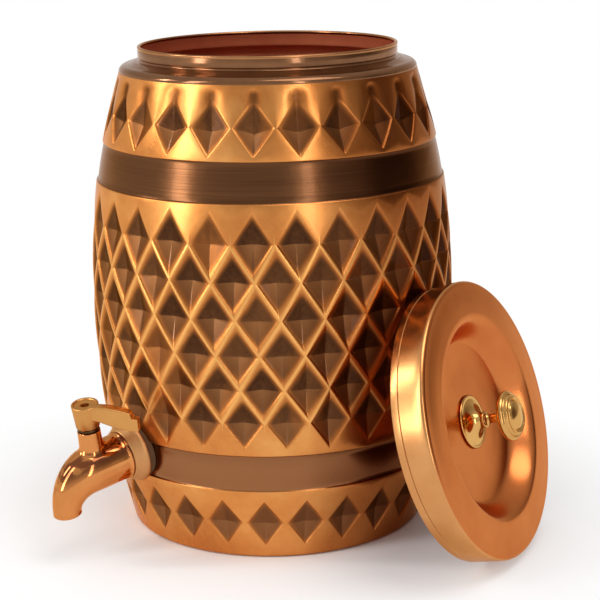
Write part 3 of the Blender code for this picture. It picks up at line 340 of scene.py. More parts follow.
class Tree:
    """A node tree, with a method for each kind of node. Values are numbers, colours or sockets."""

    def __init__(self, tree):
        self.tree = tree
        self.shader = tree.nodes.get("Principled BSDF")

    def feed(self, socket, value):
        if isinstance(value, bpy.types.NodeSocket):
            self.tree.links.new(value, socket)
        else:
            socket.default_value = (*value, 1.0) if socket.type == "RGBA" else value

    def put(self, values):
        """Links or sets the shader's inputs."""
        for name, value in values.items():
            self.feed(self.shader.inputs[name], value)

    def node(self, kind, inputs=None, **settings):
        made = self.tree.nodes.new("ShaderNode" + kind)
        for key, value in settings.items():
            setattr(made, key, value)
        for key, value in (inputs or {}).items():
            self.feed(made.inputs[key], value)
        return made

    def place(self, scale=PLAIN_SCALE):
        """The object's own coordinates, scaled per axis."""
        source = self.node("TexCoord").outputs["Object"]
        return self.node("Mapping", {"Vector": source, "Scale": scale}).outputs["Vector"]

    def axis(self, vector, name):
        return self.node("SeparateXYZ", {"Vector": vector}).outputs[name]

    def noise(self, vector, scale, detail, roughness):
        inputs = {"Vector": vector, "Scale": scale, "Detail": detail, "Roughness": roughness}
        return self.node("TexNoise", inputs).outputs["Fac"]

    def ramp(self, value, *stops):
        made = self.node("ValToRGB", {"Fac": value})
        elements = made.color_ramp.elements
        while len(elements) < len(stops):
            elements.new(0.5)
        for element, (position, color) in zip(elements, stops):
            element.position = position
            element.color = (*color, 1.0)
        return made.outputs["Color"]

    def remap(self, value, low, high, to_low=0.0, to_high=1.0, **settings):
        inputs = {"Value": value, "From Min": low, "From Max": high, "To Min": to_low, "To Max": to_high}
        return self.node("MapRange", inputs, **settings).outputs["Result"]

    def mix(self, factor, a, b, mode="MIX"):
        made = self.node("Mix", {0: factor, 6: a, 7: b}, data_type="RGBA", blend_type=mode)
        return made.outputs[2]

    def math(self, operation, a, b, clamp=False):
        return self.node("Math", {0: a, 1: b}, operation=operation, use_clamp=clamp).outputs[0]

    def add(self, a, b, clamp=False):
        return self.math("ADD", a, b, clamp)

    def subtract(self, a, b, clamp=False):
        return self.math("SUBTRACT", a, b, clamp)

    def multiply(self, a, b):
        return self.math("MULTIPLY", a, b)

    def attribute(self, name):
        return self.node("Attribute", attribute_name=name).outputs["Fac"]

    def bump(self, height, strength, distance):
        inputs = {"Height": height, "Strength": strength, "Distance": distance}
        self.put({"Normal": self.node("Bump", inputs).outputs["Normal"]})

    def seen_by(self, *rays):
        """1 for the named kinds of ray, and 0 for others."""
        path = self.node("LightPath").outputs
        seen = path[f"Is {rays[0]} Ray"]
        for ray in rays[1:]:
            seen = self.math("MAXIMUM", seen, path[f"Is {ray} Ray"])
        return seen

    def blend(self, factor, a, b):
        return self.node("MixShader", {"Fac": factor, 1: a, 2: b}).outputs["Shader"]


def new_material(name):
    mat = bpy.data.materials.new(name)
    mat.use_nodes = True
    return mat, Tree(mat.node_tree)


def metal(
    name, low, high, roughness, spread=0.06, edge=COPPER_EDGE, metallic=1.0, coat=0.0,
    brush=None, dents=0.0,
):
    """A metal whose colour drifts between two tones, brushed along the axes where brush is small."""
    mat, t = new_material(name)
    clouds = t.noise(t.place(), 28.0, 4.0, 0.6)
    fine = t.noise(t.place(), 240.0, 3.0, 0.6)
    tone = t.ramp(clouds, (0.32, low), (0.68, high))
    rough = t.remap(fine, 0.3, 0.7, roughness - spread / 2, roughness + spread / 2)
    if brush:
        lines = t.noise(t.place(brush), 1.0, 3.0, 0.7)
        tone = t.mix(t.remap(lines, 0.3, 0.7, 0.0, 0.25), tone, tuple(c * 0.55 for c in low))
        rough = t.add(rough, t.remap(lines, 0.3, 0.7, -0.05, 0.07))
        t.bump(lines, 0.6, BRUSH_DEPTH)
    if dents:
        t.bump(t.noise(t.place(), 75.0, 2.0, 0.5), 0.8, dents)
    t.put({
        "Base Color": tone, "Roughness": rough, "Metallic": metallic, "Specular Tint": edge,
        "Coat Weight": coat, "Coat Roughness": 0.06,
    })
    return mat


def pressed_copper():
    """Lacquered copper: orange ridges, with dark antique recesses and bands painted by attributes, and
    painted highlight, light and shade on the ridges and facets.
    """
    mat, t = new_material("pressed_copper")
    plain = t.place()
    clouds = t.noise(plain, 20.0, 4.0, 0.6)
    patches = t.noise(t.place((1.0, 1.0, 0.5)), 34.0, 3.0, 0.55)
    speck = t.noise(plain, 380.0, 3.0, 0.6)
    dents = t.noise(plain, 70.0, 2.0, 0.5)
    around = t.noise(t.place(LATHE_LINES), 1.0, 3.0, 0.7)
    band, tone, gloss = (t.attribute(name) for name in ("band", "tone", "gloss"))

    # Ridges, with a painted highlight along their crests, and the warmer tone towards the recesses
    crest = t.math("POWER", t.attribute("crest"), 1.5)
    bright = t.mix(t.multiply(crest, 0.85), t.ramp(clouds, *RIDGE_TONES), CREST_HIGHLIGHT_TONE)
    warm = t.ramp(clouds, *WARM_TONES)

    # Recesses: antique patina, with painted shade that makes the upper facets darker than the lower ones
    # and each facet darker towards its rim, changed by patches, and a foot painted paler as light from
    # the floor
    # depth runs from the rim to the pit, along which the facets' painted shade lifts
    depth = t.remap(t.attribute("inside"), 0.05, 0.9)
    dark = t.mix(t.attribute("lower_facet"), t.mix(depth, *UPPER_FACET_SHADED), t.mix(depth, *LOWER_FACET_LIT))
    changed = t.multiply(t.multiply(t.remap(patches, 0.35, 0.65), tone), 0.34)
    changed = t.add(changed, t.remap(speck, 0.35, 0.65, 0.0, 0.14))
    dark = t.mix(changed, dark, PATCH_TONE)
    # Painted light: the recesses and bands turn paler towards the foot, as lit from the floor
    foot = t.remap(t.axis(plain, "Z"), *FOOT_LIGHT_HEIGHTS, 1.0, 0.0)
    dark = t.mix(t.multiply(foot, 0.48), dark, FOOT_LIGHT_FACET_TONE)
    belt = t.mix(t.remap(around, 0.35, 0.7), *BELT_TONES)
    belt = t.mix(t.multiply(foot, 0.85), belt, FOOT_LIGHT_BELT_TONE)
    dark = t.mix(band, dark, belt)

    # The patina fades in some diamonds, and painted shade darkens one side of the barrel
    patina = t.add(t.attribute("patina"), t.remap(speck, 0.3, 0.7, -0.05, 0.05), clamp=True)
    faded = t.multiply(t.remap(patches, 0.38, 0.50, 0.32, 0.0), tone)
    faded = t.subtract(faded, band, clamp=True)
    patina = t.multiply(patina, t.subtract(1.0, faded))
    color = t.mix(t.remap(patina, 0.0, 0.45), bright, warm)
    color = t.mix(t.remap(patina, 0.4, 0.95), color, dark)
    shade = t.mix(t.attribute("side_shade"), WHITE, SHADED_SIDE_TONE)

    rough = t.add(t.remap(clouds, 0.3, 0.7, 0.25, 0.32), t.multiply(patina, 0.2))
    rough = t.subtract(rough, t.multiply(band, 0.26))
    edge = t.mix(t.remap(patina, 0.1, 0.8), COPPER_EDGE, RECESS_EDGE)
    t.put({
        "Base Color": t.mix(1.0, color, shade, "MULTIPLY"),
        "Metallic": 1.0,
        "Roughness": t.subtract(rough, t.multiply(gloss, 0.36)),
        "Specular Tint": t.mix(band, edge, BELT_EDGE),
        "Coat Weight": t.add(t.multiply(gloss, 0.9), 0.06),
        "Coat Roughness": 0.05,
    })
    height = t.add(t.multiply(dents, 0.7), t.multiply(around, t.multiply(band, 0.10)))
    t.bump(t.add(height, t.multiply(speck, 0.02)), 0.6, SHEET_RELIEF)
    return mat


def mirror_copper():
    """Polished copper, with darker reddish swirls on the faces turned upward as a painted reflection."""
    mat = metal("mirror_copper", (0.62, 0.225, 0.062), (0.72, 0.29, 0.09), 0.09, 0.03)
    t = Tree(mat.node_tree)
    plain = t.shader.inputs["Base Color"].links[0].from_socket
    reflection_swirls = t.noise(t.place((150.0, 50.0, 190.0)), 1.0, 2.0, 0.5)
    facing = t.axis(t.node("NewGeometry").outputs["Normal"], "Z")
    # painted reflection: darker swirls on the faces turned upward
    painted_reflection = t.multiply(t.remap(facing, 0.12, 0.5, 0.0, 0.85), t.remap(reflection_swirls, 0.44, 0.54))
    t.put({"Base Color": t.mix(painted_reflection, plain, PAINTED_REFLECTION_TONE)})
    return mat


def plain_material(name, color, roughness, metallic=0.0, specular=0.5):
    mat, t = new_material(name)
    grain = t.noise(t.place(), 300.0, 4.0, 0.6)
    t.put({
        "Base Color": t.mix(t.remap(grain, 0.3, 0.7, 0.0, 0.35), color, tuple(c * 0.7 for c in color)),
        "Roughness": t.remap(grain, 0.3, 0.7, roughness - 0.05, roughness + 0.05),
        "Metallic": metallic,
        "Specular IOR Level": specular,
    })
    t.bump(grain, 0.3, GRAIN_DEPTH)
    return mat


PRESSED = pressed_copper()
BARE = metal("bare_copper", (0.52, 0.13, 0.06), (0.66, 0.22, 0.10), 0.42, brush=(9.0, 9.0, 900.0))
INSIDE = metal("inner_copper", (0.58, 0.135, 0.060), (0.70, 0.195, 0.085), 0.42, metallic=0.62)
ANTIQUE = metal(
    "antique_copper", (0.16, 0.066, 0.027), (0.25, 0.110, 0.044), 0.17, edge=ANTIQUE_EDGE,
    metallic=0.8, coat=0.2, dents=DENT_DEPTH,
)
LIP = metal("bright_copper", (0.32, 0.135, 0.055), (0.46, 0.21, 0.088), 0.22)
MIRROR = mirror_copper()
MATT = metal("matt_copper", (0.55, 0.265, 0.10), (0.64, 0.33, 0.13), 0.44)
LEVER_METAL = metal("satin_tan", (0.58, 0.265, 0.075), (0.68, 0.33, 0.10), 0.34)
SATIN = metal("satin_copper", (0.56, 0.158, 0.044), (0.63, 0.198, 0.056), 0.25, 0.015)
# the brushed skirt, painted paler than the face as a highlight
SKIRT_WITH_HIGHLIGHT = metal("brushed_copper_painted_highlight", (0.59, 0.255, 0.085), (0.68, 0.325, 0.120), 0.26, 0.02)
BRASS = metal("polished_brass", (0.60, 0.31, 0.090), (0.72, 0.405, 0.13), 0.14, edge=BRASS_EDGE)
# the gland nut's brass, darkened as painted shade of the groove under the hub
DARK_BRASS = metal("brass_painted_shade", (0.045, 0.022, 0.010), (0.13, 0.068, 0.026), 0.14, edge=BRASS_EDGE)
STEEL = plain_material("steel", (0.55, 0.55, 0.55), 0.3, 1.0)
RUBBER = plain_material("rubber", (0.13, 0.068, 0.034), 0.9, specular=0.1)
PLASTIC = plain_material("white_plastic", (0.8, 0.8, 0.76), 0.45)


# ---------------------------------------------------------------- the barrel

STATIONS = (
    (0.0, BASE_RADIUS),
    (LOWER_ROW_MIDDLE, LOWER_ROW_RADIUS),
    (LOWER_BAND_MIDDLE, LOWER_BAND_RADIUS),
    (LOWER_BELLY_HEIGHT, LOWER_BELLY_RADIUS),
    (BELLY_HEIGHT, BELLY_RADIUS),
    (UPPER_BELLY_HEIGHT, UPPER_BELLY_RADIUS),
    (UPPER_BAND_MIDDLE, UPPER_BAND_RADIUS),
    (WALL_HEIGHT, SHOULDER_RADIUS),
)


def smooth_curve(stations):
    """A natural cubic spline through the stations."""
    at, value = np.array(stations).T
    step = np.diff(at)
    count = len(at)
    system, load = np.eye(count), np.zeros(count)
    for k in range(1, count - 1):
        system[k, k - 1:k + 2] = step[k - 1], 2.0 * (step[k - 1] + step[k]), step[k]
        load[k] = 6.0 * ((value[k + 1] - value[k]) / step[k] - (value[k] - value[k - 1]) / step[k - 1])
    bend = np.linalg.solve(system, load)

    def curve(x):
        k = int(np.clip(np.searchsorted(at, x) - 1, 0, count - 2))
        t, h = x - at[k], step[k]
        slope = (value[k + 1] - value[k]) / h - h * (2.0 * bend[k] + bend[k + 1]) / 6.0
        cubic = (bend[k + 1] - bend[k]) * t ** 3 / (6.0 * h)
        return float(value[k] + slope * t + bend[k] * t * t / 2.0 + cubic)

    return curve


barrel_radius = smooth_curve(STATIONS)


def foot_radius(height):
    if height >= FOOT_FILLET:
        return barrel_radius(height)
    drop = 1.0 - height / FOOT_FILLET
    return barrel_radius(FOOT_FILLET) - FOOT_FILLET * (1.0 - math.sqrt(1.0 - drop * drop))


# Loops of a diamond: (share from the crest line to the rim, share of the rim's sink, patina), then
# (share from the rim to the pit, patina)
RIDGE_LOOPS = (
    (0.0, 0.0, 0.0), (0.2, 0.05, 0.03), (0.4, 0.15, 0.08), (0.6, 0.34, 0.19), (0.8, 0.62, 0.36),
    (1.0, 1.0, 0.58),
)
FACET_LOOPS = ((0.04, 0.73), (0.09, 0.84), (0.17, 0.93), (0.3, 1.0), (0.5, 1.0), (0.72, 1.0), (0.9, 1.0))
RIDGE_EXTRA = 0.35
SIDE_SPLITS = (0.0, 0.045, 0.12, 0.3, 0.5, 0.7, 0.88, 0.955)
CREASE_ROUND = 0.2
# the patina at which the painted highlight on a crest ends
CREST_PATINA = 0.19             # patina at which a crest's brightness ends
CORNER_WEAR = 0.5
CORNER_SPREAD = 0.07
GLINT = (0.15, 0.8)             # shares of a facet between which the lower crease glints
PIT_WANDER = 0.6
PIT_ROUND = 0.1
CREST_WANDER = 0.55
DEPTH_SPREAD = 0.3
LOWER_SIDES = (2, 3)
ALL_SIDES = (0, 1, 2, 3)
TAIL_HALF_WIDTH = 3.7
TAIL_START, TAIL_END = 268.0, 282.0
TAIL_RISE, TAIL_FALL = 5.0, 4.5
TAIL_PATINA = 0.8
# Painted shade on one side of the barrel: its middle, the cosine at which it starts, and its curve
SHADED_SIDE_HEADING = CAMERA_HEADING + 70.0
SHADED_SIDE_START = 0.5
SHADED_SIDE_POWER = 0.75
# Rings over a sunk band's edge: (distance in from the edge, share of the sink, patina)
BAND_STEPS = ((0.0, 0.0, 0.0), (0.25, 0.1, 0.15), (0.55, 0.45, 0.6), (0.8, 0.85, 1.0), (1.1, 1.0, 1.0))
BAND_SPLITS = 8
BAND_SEAM = 9                   # the ring of a band at which the rows' different headings are stitched
FOOT_RINGS = (0.0, 0.15, 0.5, 1.1, 2.0, 3.0, 4.5)
TAP_HOLE_SPAN = 20.0            # how far in and out of the wall the tap's hole is cut
ROW_VALUES = ("patina", "band", "inside", "tone", "gloss", "crest")


class Sheet:
    """A skin over the barrel, whose vertices weld where they meet.

    The row of each vertex has its heading, height and sink, then the ROW_VALUES.
    """

    def __init__(self):
        self.spots = {}
        self.rows = []
        self.faces = []
        self.shade = []

    def spot(
        self, heading, height, sink, patina=0.0, band=0.0, inside=0.0, tone=0.5, gloss=0.0, crest=0.0
    ):
        key = (round((heading % TURN) * 1000) % 360000, round(height * 1000))
        if key not in self.spots:
            self.spots[key] = len(self.rows)
            self.rows.append((heading, height, sink, patina, band, inside, tone, gloss, crest))
        return self.spots[key]

    def face(self, corners, shade=0.0):
        corners = list(dict.fromkeys(corners))
        if len(corners) > 2:
            self.faces.append(tuple(corners))
            self.shade.append(shade)

    def join(self, lower, upper):
        """Quads between two loops with the same headings, each a list of (heading, vertex) in order."""
        for k in range(len(lower)):
            n = (k + 1) % len(lower)
            self.face((lower[k][1], lower[n][1], upper[n][1], upper[k][1]))

    def stack(self, loop, rings):
        """Joins rings above a loop, and returns the top one."""
        for ring in rings:
            self.join(loop, ring)
            loop = ring
        return loop

    def stitch(self, lower, upper):
        """Triangles between two closed loops with different headings."""
        lower = sorted((h % TURN, v) for h, v in lower)
        upper = sorted((h % TURN, v) for h, v in upper)
        i = j = 0
        while i < len(lower) or j < len(upper):
            below, below_next = lower[i % len(lower)], lower[(i + 1) % len(lower)]
            above, above_next = upper[j % len(upper)], upper[(j + 1) % len(upper)]
            reach_below = below_next[0] + TURN * ((i + 1) // len(lower))
            reach_above = above_next[0] + TURN * ((j + 1) // len(upper))
            if j >= len(upper) or (i < len(lower) and reach_below <= reach_above):
                self.face((below[1], below_next[1], above[1]))
                i += 1
            else:
                self.face((below[1], above_next[1], above[1]))
                j += 1

    def diamond(
        self, heading, height, half_width, rise, drop, crests, crest_sinks,
        pit_drop=0.0, top_sink=RIM_SINK, plain_sides=(),
    ):
        """One recess inside its crest points, (heading, height) at left, top, right and bottom.

        Plain sides run out into a smooth belt, with no painted highlight along a crest line.
        """
        rim = (
            (heading - half_width, height), (heading, height + rise),
            (heading + half_width, height), (heading, height - drop),
        )
        rim_sinks = (RIM_SINK, top_sink, RIM_SINK, RIM_SINK)
        aside, above, deeper, tone = (chance(heading, height * MM, k) for k in (1, 2, 3, 4))
        depth = DIAMOND_DEPTH - DEPTH_SPREAD * deeper
        pit = (
            heading + math.degrees(PIT_WANDER * (2.0 * aside - 1.0) / BELLY_RADIUS),
            height - pit_drop + PIT_WANDER * (2.0 * above - 1.0),
        )
        loops = []
        for share, sink_share, patina in RIDGE_LOOPS:
            corners = [tuple(c[i] + (r[i] - c[i]) * share for i in (0, 1)) for c, r in zip(crests, rim)]
            sinks = [c + (r + RIDGE_EXTRA - c) * sink_share for c, r in zip(crest_sinks, rim_sinks)]
            loops.append((corners, sinks, 0.0, patina))
        for share, patina in FACET_LOOPS:
            corners = [tuple(r[i] + (pit[i] - r[i]) * share for i in (0, 1)) for r in rim]
            sinks = [r + RIDGE_EXTRA + (depth - r - RIDGE_EXTRA) * share for r in rim_sinks]
            loops.append((corners, sinks, share, patina))
        made = []
        for corners, sinks, inside, patina in loops:
            loop = []
            for side in range(4):
                a, b = corners[side], corners[(side + 1) % 4]
                is_crest = inside == 0.0 and side not in plain_sides
                for split in SIDE_SPLITS:
                    sink = sinks[side] + (sinks[(side + 1) % 4] - sinks[side]) * split
                    if split == 0.0:
                        sink -= CREASE_ROUND * min(1.0, inside * 6.0) * (1.0 - inside)
                    spot = (a[0] + (b[0] - a[0]) * split, a[1] + (b[1] - a[1]) * split)
                    gloss = float(side == 3 and split == 0.0 and GLINT[0] < inside < GLINT[1])
                    # crest: how much of the ridge crest's painted highlight this point gets
                    crest = max(0.0, 1.0 - patina / CREST_PATINA) if is_crest else 0.0
                    corner = math.exp(-min(split, 1.0 - split) / CORNER_SPREAD)
                    pale = patina * (1.0 - CORNER_WEAR * corner * max(0.0, 1.0 - inside * 5.0))
                    loop.append(self.spot(*spot, sink, pale, 0.0, inside, tone, gloss, crest))
            made.append(loop)
        count = len(made[0])
        # 1 on the lower facets, which are painted lighter than the upper ones as painted light
        sides = [float(k * 4 // count in LOWER_SIDES) for k in range(count)]
        for outer, inner in zip(made, made[1:]):
            for k in range(count):
                n = (k + 1) % count
                self.face((outer[n], outer[k], inner[k], inner[n]), sides[k])
        middle = self.spot(*pit, depth - PIT_ROUND, 1.0, 0.0, 1.0, tone)
        for k in range(count):
            self.face((made[-1][(k + 1) % count], made[-1][k], middle), sides[k])

    def zigzag(self, points, sinks):
        """The loop along crest points in order of heading, split as the diamonds' sides are."""
        loop = []
        count = len(points)
        for k in range(count):
            a, b = points[k], points[(k + 1) % count]
            if k == count - 1:
                b = (b[0] + TURN, b[1])
            s, t = sinks[k], sinks[(k + 1) % count]
            for split in SIDE_SPLITS:
                heading, height = (a[i] + (b[i] - a[i]) * split for i in (0, 1))
                loop.append((heading, self.spot(heading, height, s + (t - s) * split)))
        return loop

    def ease_out(self, loop, target, count):
        """Rings that ease a zigzag loop out to the target height, in order from the loop."""
        rings = []
        for k in range(1, count + 1):
            share = k / count
            ring = []
            for heading, vertex in loop:
                _, height, sink = self.rows[vertex][:3]
                height += (target - height) * share
                ring.append((heading, self.spot(heading, height, sink * (1.0 - share) ** 2)))
            rings.append(ring)
        return rings

    def band(self, loop, low, high):
        """Rings over a sunk band, with softly rounded lips."""
        lower = [(low + d, s * BAND_SINK, p, float(p > 0.5)) for d, s, p in BAND_STEPS]
        upper = [(high - d, s * BAND_SINK, p, float(p > 0.5)) for d, s, p in reversed(BAND_STEPS)]
        start, end = lower[-1][0], upper[0][0]
        between = [
            (start + (end - start) * k / BAND_SPLITS, BAND_SINK, 1.0, 1.0) for k in range(1, BAND_SPLITS)
        ]
        return [[(h, self.spot(h, *values)) for h, _ in loop] for values in lower + between + upper]


def single_row(sheet, count, first, middle, rise, width_share, tail, tail_sink=0.0, pit_drop=0.0):
    """A row of diamonds on its own. Returns its lower and upper zigzags."""
    pitch = TURN / count
    half_width = pitch / 2.0 * width_share
    lower, upper = [], []
    for k in range(count):
        heading = first + k * pitch
        left, right = (heading - pitch / 2.0, middle), (heading + pitch / 2.0, middle)
        top, bottom = (heading, middle + rise + tail), (heading, middle - rise - LOWER_ROW_TAIL)
        sheet.diamond(
            heading, middle, half_width, rise, rise, (left, top, right, bottom),
            (0.0, tail_sink, 0.0, 0.0), pit_drop, max(RIM_SINK, tail_sink), ALL_SIDES,
        )
        lower += [left, bottom]
        upper += [left, top]
    return sheet.zigzag(lower, [0.0, 0.0] * count), sheet.zigzag(upper, [0.0, tail_sink] * count)


def lattice_heights():
    top = UPPER_BAND_MIDDLE - BAND_WIDTH / 2.0
    bottom = LOWER_BAND_MIDDLE + BAND_WIDTH / 2.0
    shares = [1.0 - ROW_CLOSING_SHARE * k for k in range(LATTICE_ROWS + 1)]
    heights = [top]
    for share in shares:
        heights.append(heights[-1] - (top - bottom) * share / sum(shares))
    return heights


def lattice(sheet):
    """The staggered rows between the bands. Returns the lower and upper zigzags."""
    pitch = TURN / LATTICE_COUNT
    heights = lattice_heights()
    half_width = pitch / 2.0 * LATTICE_WIDTH_SHARE
    last = LATTICE_ROWS

    def row_heading(row, k):
        return LATTICE_HEADING + ROW_DRIFT * row + (k + row % 2 / 2.0) * pitch

    def crest(row, k):
        if row in (0, last + 1):
            beside = 1 if row == 0 else last
            run = (heights[row] - heights[beside]) * CREST_SHARE
            return row_heading(beside, k), heights[beside] + run
        aside, rise = (
            CREST_WANDER * (chance(row, k % LATTICE_COUNT, part) - 0.5) * 2.0 for part in (5, 6)
        )
        heading = row_heading(row, k) - pitch / 2.0 + math.degrees(aside / BELLY_RADIUS)
        return heading, heights[row] + rise

    for row in range(1, last + 1):
        rise = (heights[row - 1] - heights[row]) * LATTICE_HEIGHT_SHARE
        drop = (heights[row] - heights[row + 1]) * LATTICE_HEIGHT_SHARE
        plain = (0, 1) if row == 1 else (2, 3) if row == last else ()
        for k in range(LATTICE_COUNT):
            above = k if row == 1 else k + row % 2
            below = k if row == last else k + row % 2
            sheet.diamond(
                row_heading(row, k), heights[row], half_width, rise, drop,
                (crest(row, k), crest(row - 1, above), crest(row, k + 1), crest(row + 1, below)),
                (0.0, 0.0, 0.0, 0.0), plain_sides=plain,
            )
    lower, upper = [], []
    for k in range(LATTICE_COUNT):
        lower += [crest(last, k), crest(last + 1, k)]
        upper += [crest(1, k), crest(0, k)]
    sinks = [0.0] * len(lower)
    return sheet.zigzag(lower, sinks), sheet.zigzag(upper, sinks)


def barrel_sheet():
    sheet = Sheet()
    low_zig, low_top = single_row(
        sheet, LOWER_ROW_COUNT, LOWER_ROW_HEADING, LOWER_ROW_MIDDLE, LOWER_ROW_RISE,
        LOWER_ROW_WIDTH_SHARE, LOWER_ROW_TAIL,
    )
    foot = [[(h, sheet.spot(h, z, 0.0)) for h, _ in low_zig] for z in FOOT_RINGS]
    sheet.stack(foot[0], foot[1:] + [sheet.ease_out(low_zig, FOOT_RINGS[-1], 2)[0], low_zig])
    lat_low, lat_high = lattice(sheet)
    top_low, top_high = single_row(
        sheet, UPPER_ROW_COUNT, UPPER_ROW_HEADING, UPPER_ROW_MIDDLE, UPPER_ROW_RISE,
        UPPER_ROW_WIDTH_SHARE, UPPER_ROW_TAIL, UPPER_ROW_TAIL_SINK, UPPER_ROW_PIT_DROP,
    )
    bands = ((low_top, lat_low, LOWER_BAND_MIDDLE), (lat_high, top_low, UPPER_BAND_MIDDLE))
    for below, above, middle in bands:
        low, high = middle - BAND_WIDTH / 2.0, middle + BAND_WIDTH / 2.0
        rings = sheet.ease_out(below, low, 3)[:-1] + sheet.band(below, low, high)[:BAND_SEAM]
        reached = sheet.stack(below, rings)
        upper = sheet.band(above, low, high)[BAND_SEAM:]
        sheet.stitch(reached, upper[0])
        sheet.stack(upper[0], upper[1:] + sheet.ease_out(above, high, 3)[:-1][::-1] + [above])
    sheet.stack(top_high, sheet.ease_out(top_high, WALL_HEIGHT, 9))
    return sheet


def add_tails(rows):
    """The soft grooves above the upper row's diamonds, and their patina."""
    pitch = TURN / UPPER_ROW_COUNT
    for k, (heading, height, sink, patina, *rest) in enumerate(rows):
        if height < TAIL_START or height > TAIL_END:
            continue
        away = (heading - UPPER_ROW_HEADING + pitch / 2.0) % pitch - pitch / 2.0
        away = math.radians(away) * SHOULDER_RADIUS / TAIL_HALF_WIDTH
        fade = eased((height - TAIL_START) / TAIL_RISE) * eased((TAIL_END - height) / TAIL_FALL)
        fade /= 1.0 + away ** 4
        sink = max(sink, UPPER_ROW_TAIL_SINK * 1.3 * fade)
        rows[k] = (heading, height, sink, max(patina, TAIL_PATINA * fade), *rest)
    return rows


def tap_matrix():
    out = TAP_HOLE_RADIUS
    rise = barrel_radius(TAP_HEIGHT + out) - barrel_radius(TAP_HEIGHT - out)
    slope = math.atan2(rise, 2.0 * out)
    place = Matrix.Translation((0.0, -(barrel_radius(TAP_HEIGHT) - BAND_SINK), TAP_HEIGHT))
    return place @ Matrix.Rotation(slope, 4, "X") @ Matrix.Rotation(math.radians(TAP_LEAN), 4, "Y")


TAP = tap_matrix()
OUTWARD = TAP @ Matrix.Rotation(math.radians(90.0), 4, "X")
STEM = TAP @ Matrix.Translation((0.0, -STEM_DISTANCE, 0.0))


def barrel():
    sheet = barrel_sheet()
    rows = np.array(add_tails(sheet.rows))
    angle = np.radians(rows[:, 0])
    radius = np.array([foot_radius(h) for h in rows[:, 1]]) - rows[:, 2]
    outer, inner = (
        np.column_stack([r * np.sin(angle), -r * np.cos(angle), rows[:, 1]])
        for r in (radius, radius - WALL)
    )
    inverse = np.array(TAP.inverted())
    local = outer @ inverse[:3, :3].T + inverse[:3, 3]
    from_axis = np.hypot(local[:, 0], local[:, 2])
    at_tap = (from_axis < TAP_HOLE_RADIUS) & (np.abs(local[:, 1]) < TAP_HOLE_SPAN)
    kept = [k for k, corners in enumerate(sheet.faces) if not any(at_tap[c] for c in corners)]
    count = len(rows)
    faces = [sheet.faces[k] for k in kept]
    shade = [sheet.shade[k] for k in kept]
    used = dict.fromkeys(pair for corners in faces for pair in zip(corners, corners[1:] + corners[:1]))
    back = [tuple(c + count for c in reversed(corners)) for corners in faces]
    back += [(b, a, a + count, b + count) for a, b in used if (b, a) not in used]
    slots = [0] * len(faces) + [1] * len(back)
    shade += [0.0] * len(back)
    obj = mesh_object("barrel", np.vstack([outer, inner]), faces + back, [PRESSED, INSIDE], slots, 60.0)

    def attribute(name, domain, values):
        obj.data.attributes.new(name, "FLOAT", domain).data.foreach_set("value", values)

    for column, name in enumerate(ROW_VALUES, 3):
        attribute(name, "POINT", np.tile(rows[:, column], 2))
    # painted shade that darkens one side of the barrel
    turn = (np.cos(np.radians(rows[:, 0] - SHADED_SIDE_HEADING)) - SHADED_SIDE_START) / (1.0 - SHADED_SIDE_START)
    attribute("side_shade", "POINT", np.tile(np.clip(turn, 0.0, 1.0) ** SHADED_SIDE_POWER, 2))
    # marks the lower facets, whose tones are painted lighter as painted light
    attribute("lower_facet", "FACE", np.array(shade))
    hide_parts("barrel_wall")
    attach(obj, "pot")


def neck():
    """Neck, groove and rounded shoulder."""
    seat, edge = WALL_HEIGHT, barrel_radius(WALL_HEIGHT)
    inner = NECK_RADIUS - NECK_SHEET
    middle, rise = edge - SHOULDER_ROUND, SHOULDER_ROUND * 0.8
    outer = near(edge, seat, (-1.4, -2.0), (-1.25, 0.0), (-0.1, 0.05))
    outer += arc((middle, seat + 0.2), (SHOULDER_ROUND, rise), 6.0, 80.0, 12)
    outer += near(middle, seat + 0.2 + rise, (-2.0, 0.35))
    outer += near(NECK_RADIUS, SHOULDER_TOP, (2.6, -0.25), (1.5, 0.02), (0.7, 0.1), (0.1, 0.3))
    outer += near(NECK_RADIUS, NECK_GROOVE_HEIGHT, (-0.5, -0.5), (-0.5, 0.0), (-0.1, 0.45), (0.0, 0.7))
    outer += near(NECK_RADIUS, NECK_TOP, (0.0, -1.9), (-0.1, -1.7))
    lip = arc(
        (NECK_RADIUS - LIP_RADIUS, NECK_TOP - LIP_RADIUS), (LIP_RADIUS + 0.15, LIP_RADIUS),
        -20.0, 200.0, 12,
    )
    inside = [(inner, NECK_TOP - 2.2), (inner, SHOULDER_TOP + 1.0)]
    inside += near(inner, SHOULDER_TOP - NECK_SHEET, (0.4, 0.5), (1.4, 0.0))
    inside += [(middle, seat + rise - NECK_SHEET)]
    inside += near(edge - NECK_SHEET, seat, (-1.25, 0.0), (-1.4, -2.0))
    slots = [0] * (len(outer) - 1) + [1] * (len(lip) + 1) + [2] * len(inside)
    obj = turned("neck", outer + lip + inside, WIDE_SIDES, [ANTIQUE, LIP, INSIDE], slots, 50.0)
    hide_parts("neck_collar")
    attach(obj, "pot")


# ---------------------------------------------------------------- the tap

HOUSING_FILLET = 2.6
HOUSING_ROOT = HOUSING_RADIUS + 0.25
HOUSING_LEVELS = 8
FLANGE_BACK = OUTER_WASHER_THICKNESS + GAP
FLANGE_FRONT = FLANGE_BACK + FLANGE_LENGTH
STEM_BORE = STEM_NECK_RADIUS + GAP
HUB_FOOT = HOUSING_TOP + 2.0 * GAP + GLAND_HEAD


